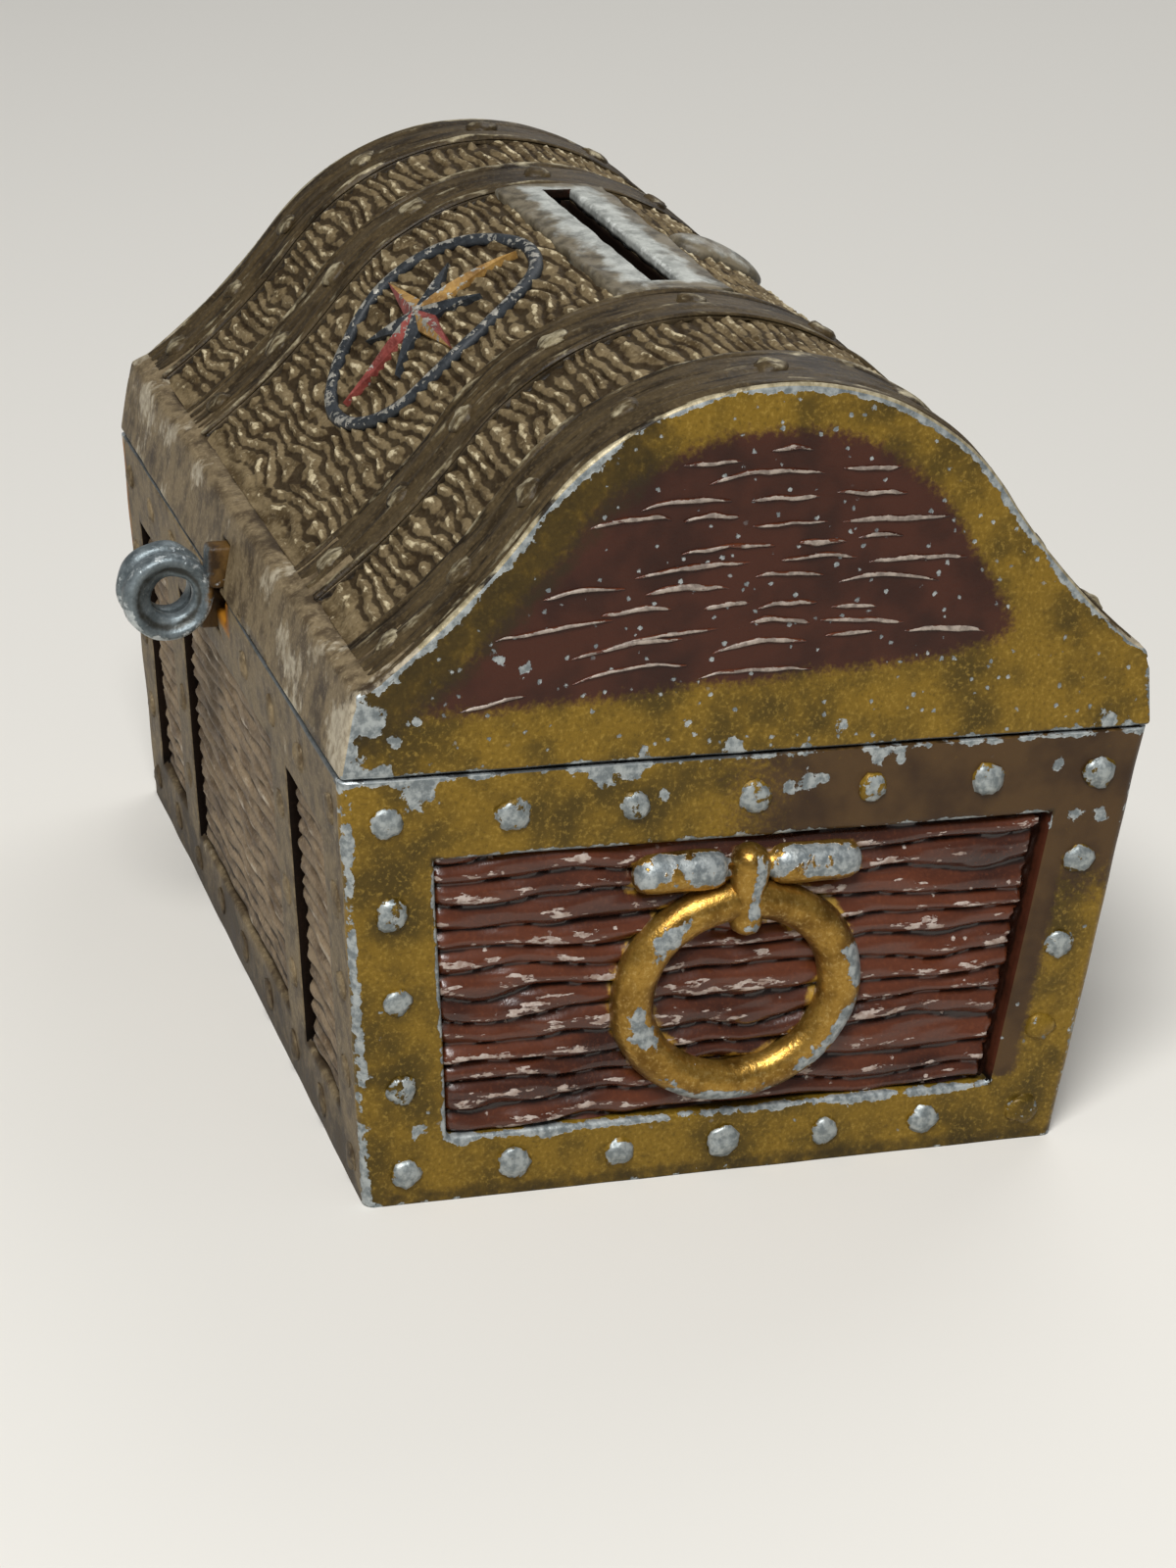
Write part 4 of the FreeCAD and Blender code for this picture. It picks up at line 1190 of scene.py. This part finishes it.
def makeBoss():
    low, high = boxOf("oval_boss")
    halfWidth = (high.x - low.x) / 2
    tilts = [math.atan2(y, z - curve["middle"]) for y, z in ((low.y, high.z), (high.y, low.z))]
    start, end = (roof["domeRadius"] * tilt for tilt in tilts)
    bm = bmesh.new()
    bmesh.ops.create_uvsphere(bm, u_segments=40, v_segments=20, radius=1)
    grime, over = paintLayers(bm)[1:]
    for vert in bm.verts:
        x, y, z = vert.co
        run = (start + end) / 2 + y * (end - start) / 2
        swell = boss["rise"] * max(0.0, z) ** boss["roundness"] + boss["uneven"] * ripple(101, x * 2, y * 2)
        lift = roof["plankFace"] + (swell if z > 0 else boss["sunk"])
        vert[over] = 0.9 - 0.3 * smoothStep(0.1, 0.7, z)
        # painted shade round its foot
        vert[grime] = 0.8 * smoothStep(0.4, 0.0, z)
        vert.co = onRoof(x * halfWidth * (1 + boss["uneven"] * ripple(102, y * 2)), run, lift)
    finishPiece(bm, "ovalBoss", "lid", [slotZinc], ["oval_boss"])


makePad()
makeBoss()
print("pad and boss made")


# Compass rose: a ring and eight ridged points, set on the front slope

rose = dict(
    ring=11.2, ringWidth=1.3, padGap=1.3, long=9.4, short=6.6, waist=2.4, rise=1.0, tipRise=0.5,
    edgeRise=0.3, sunk=-0.15, cuts=5, ringRise=0.55, ringSteps=96)
roseMiddle = -(roof["domeRadius"] * math.asin(padHigh.y / roof["domeRadius"]) + rose["padGap"] + rose["ring"])


def makePoints():
    bm = bmesh.new()
    bmesh.ops.create_circle(bm, cap_ends=True, cap_tris=True, segments=16, radius=1)
    radii = (rose["long"], rose["waist"], rose["short"], rose["waist"])
    for vert in bm.verts:
        if vert.co.length < 0.1:
            vert.co.z = rose["rise"]
            continue
        turn = math.atan2(vert.co.x, vert.co.y)
        step = round(turn / (math.pi / 8)) % 16
        rise = rose["tipRise"] if step % 2 == 0 else rose["edgeRise"]
        vert.co = (radii[step % 4] * math.sin(turn), radii[step % 4] * math.cos(turn), rise)
    for face in bm.faces:
        centre = face.calc_center_median()
        sector = int(math.atan2(centre.x, centre.y) % (2 * math.pi) / (math.pi / 8))
        face.material_index = (0, 2, 2, 1)[sector % 4]
    rim = [edge for edge in bm.edges if edge.is_boundary]
    skirt = bmesh.ops.extrude_edge_only(bm, edges=rim)["geom"]
    for item in skirt:
        if isinstance(item, bmesh.types.BMVert):
            item.co.z = rose["sunk"]
    bmesh.ops.holes_fill(bm, edges=[edge for edge in bm.edges if edge.is_boundary])
    bmesh.ops.triangulate(bm, faces=[face for face in bm.faces if len(face.verts) > 4])
    bmesh.ops.subdivide_edges(bm, edges=bm.edges[:], cuts=rose["cuts"], use_grid_fill=True)
    wear, grime = paintLayers(bm)[:2]
    for vert in bm.verts:
        x, y, z = vert.co
        vert[wear] = 0.6 * smoothStep(0.45, 0.95, z) + 0.25
        # painted shade round the foot of the points
        vert[grime] = 0.6 * smoothStep(0.2, -0.05, z)
        uneven = 0.06 * ripple(103, x, y)
        vert.co = onRoof(x, roseMiddle + y, roof["plankFace"] + z + uneven)
    looks = [ochreEnamel, redEnamel, charcoalEnamel]
    finishPiece(bm, "compassPoints", "lid", looks, ["compass_points"], 25)


def makeRoseRing():
    bm = bmesh.new()
    bmesh.ops.create_circle(bm, segments=10, radius=1)
    bmesh.ops.rotate(bm, verts=bm.verts, cent=(0, 0, 0), matrix=Matrix.Rotation(math.pi / 2, 3, "X"))
    bmesh.ops.scale(bm, verts=bm.verts, vec=(rose["ringWidth"] / 2, 1, rose["ringRise"]))
    bmesh.ops.translate(bm, verts=bm.verts, vec=(rose["ring"] - rose["ringWidth"] / 2, 0, 0.05))
    spinRound(bm, (0, 0, 1), rose["ringSteps"])
    wear, grime = paintLayers(bm)[:2]
    for vert in bm.verts:
        x, y, z = vert.co
        vert[wear] = 0.7 * smoothStep(0.3, 0.6, z)
        # painted shade round the ring's foot
        vert[grime] = 0.7 * smoothStep(0.3, 0.0, z)
        grow = 1 + 0.012 * ripple(104, x / 4, y / 4)
        lift = roof["plankFace"] + z + 0.06 * ripple(105, x / 1.5, y / 1.5)
        vert.co = onRoof(x * grow, roseMiddle + y * grow, lift)
    finishPiece(bm, "compassRing", "lid", [charcoalEnamel], ["compass_ring"])


makePoints()
makeRoseRing()
print("compass rose made")

for node in ("right_hinge_pin", "left_hinge_pin"):
    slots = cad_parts[node].data.materials
    slots.clear()
    slots.append(steelWire)


# Stage: pale floor, soft light and a camera at the photograph's angle

stage = dict(
    floor="#d8d5ce", reach=4.0, sky=0.22, skyTint="#f4f6f8", aim=(0.0, 0.0, 0.03),
    key=dict(power=10.0, at=(0.5, -0.3, 0.75), size=0.4),
    fill=dict(power=1.8, at=(-0.5, 0.4, 0.6), size=0.6))
view = dict(azimuth=70.82, elevation=23.15, roll=3.67, distance=302.5, target=(0.0, 1.2, 15.6), lens=80.1)


def makeFloor():
    bm = bmesh.new()
    bmesh.ops.create_grid(bm, x_segments=4, y_segments=4, size=stage["reach"])
    mesh = bpy.data.meshes.new("paleFloor")
    bm.to_mesh(mesh)
    bm.free()
    material = bpy.data.materials.new("MattPaperSweep")     # pale paper: even, no gloss
    material.use_nodes = True
    shader = material.node_tree.nodes["Principled BSDF"]
    shader.inputs["Base Color"].default_value = toLinear(stage["floor"])
    shader.inputs["Roughness"].default_value = 0.9
    mesh.materials.append(material)
    floor = bpy.data.objects.new("paleFloor", mesh)
    scene.collection.objects.link(floor)


def makeLight(name, lamp):
    light = bpy.data.lights.new(name, "AREA")
    light.shape = "DISK"
    light.energy = lamp["power"]
    light.size = lamp["size"]
    holder = bpy.data.objects.new(name, light)
    holder.location = lamp["at"]
    aim = Vector(stage["aim"]) - Vector(lamp["at"])
    holder.rotation_euler = aim.to_track_quat("-Z", "Y").to_euler()
    scene.collection.objects.link(holder)


def makeCamera():
    turn, rise, roll = (math.radians(view[name]) for name in ("azimuth", "elevation", "roll"))
    back = Vector((math.sin(turn) * math.cos(rise), -math.cos(turn) * math.cos(rise), math.sin(rise)))
    right = Vector((math.cos(turn), math.sin(turn), 0))
    up = back.cross(right)
    rolledRight = right * math.cos(roll) + up * math.sin(roll)
    rolledUp = up * math.cos(roll) - right * math.sin(roll)
    lens = bpy.data.cameras.new("photoCamera")
    lens.lens = view["lens"]
    lens.sensor_width = 36
    lens.clip_start = 0.01
    camera = bpy.data.objects.new("photoCamera", lens)
    camera.matrix_world = Matrix((rolledRight, rolledUp, back)).transposed().to_4x4()
    camera.location = (Vector(view["target"]) + back * view["distance"]) * mm
    scene.collection.objects.link(camera)
    scene.camera = camera


makeFloor()
makeLight("keySoftbox", stage["key"])
makeLight("fillSoftbox", stage["fill"])
world = bpy.data.worlds.new("softSky")
world.use_nodes = True
world.node_tree.nodes["Background"].inputs["Strength"].default_value = stage["sky"]
world.node_tree.nodes["Background"].inputs["Color"].default_value = toLinear(stage["skyTint"])
scene.world = world
makeCamera()
scene.view_settings.view_transform = "Standard"
print("stage made")
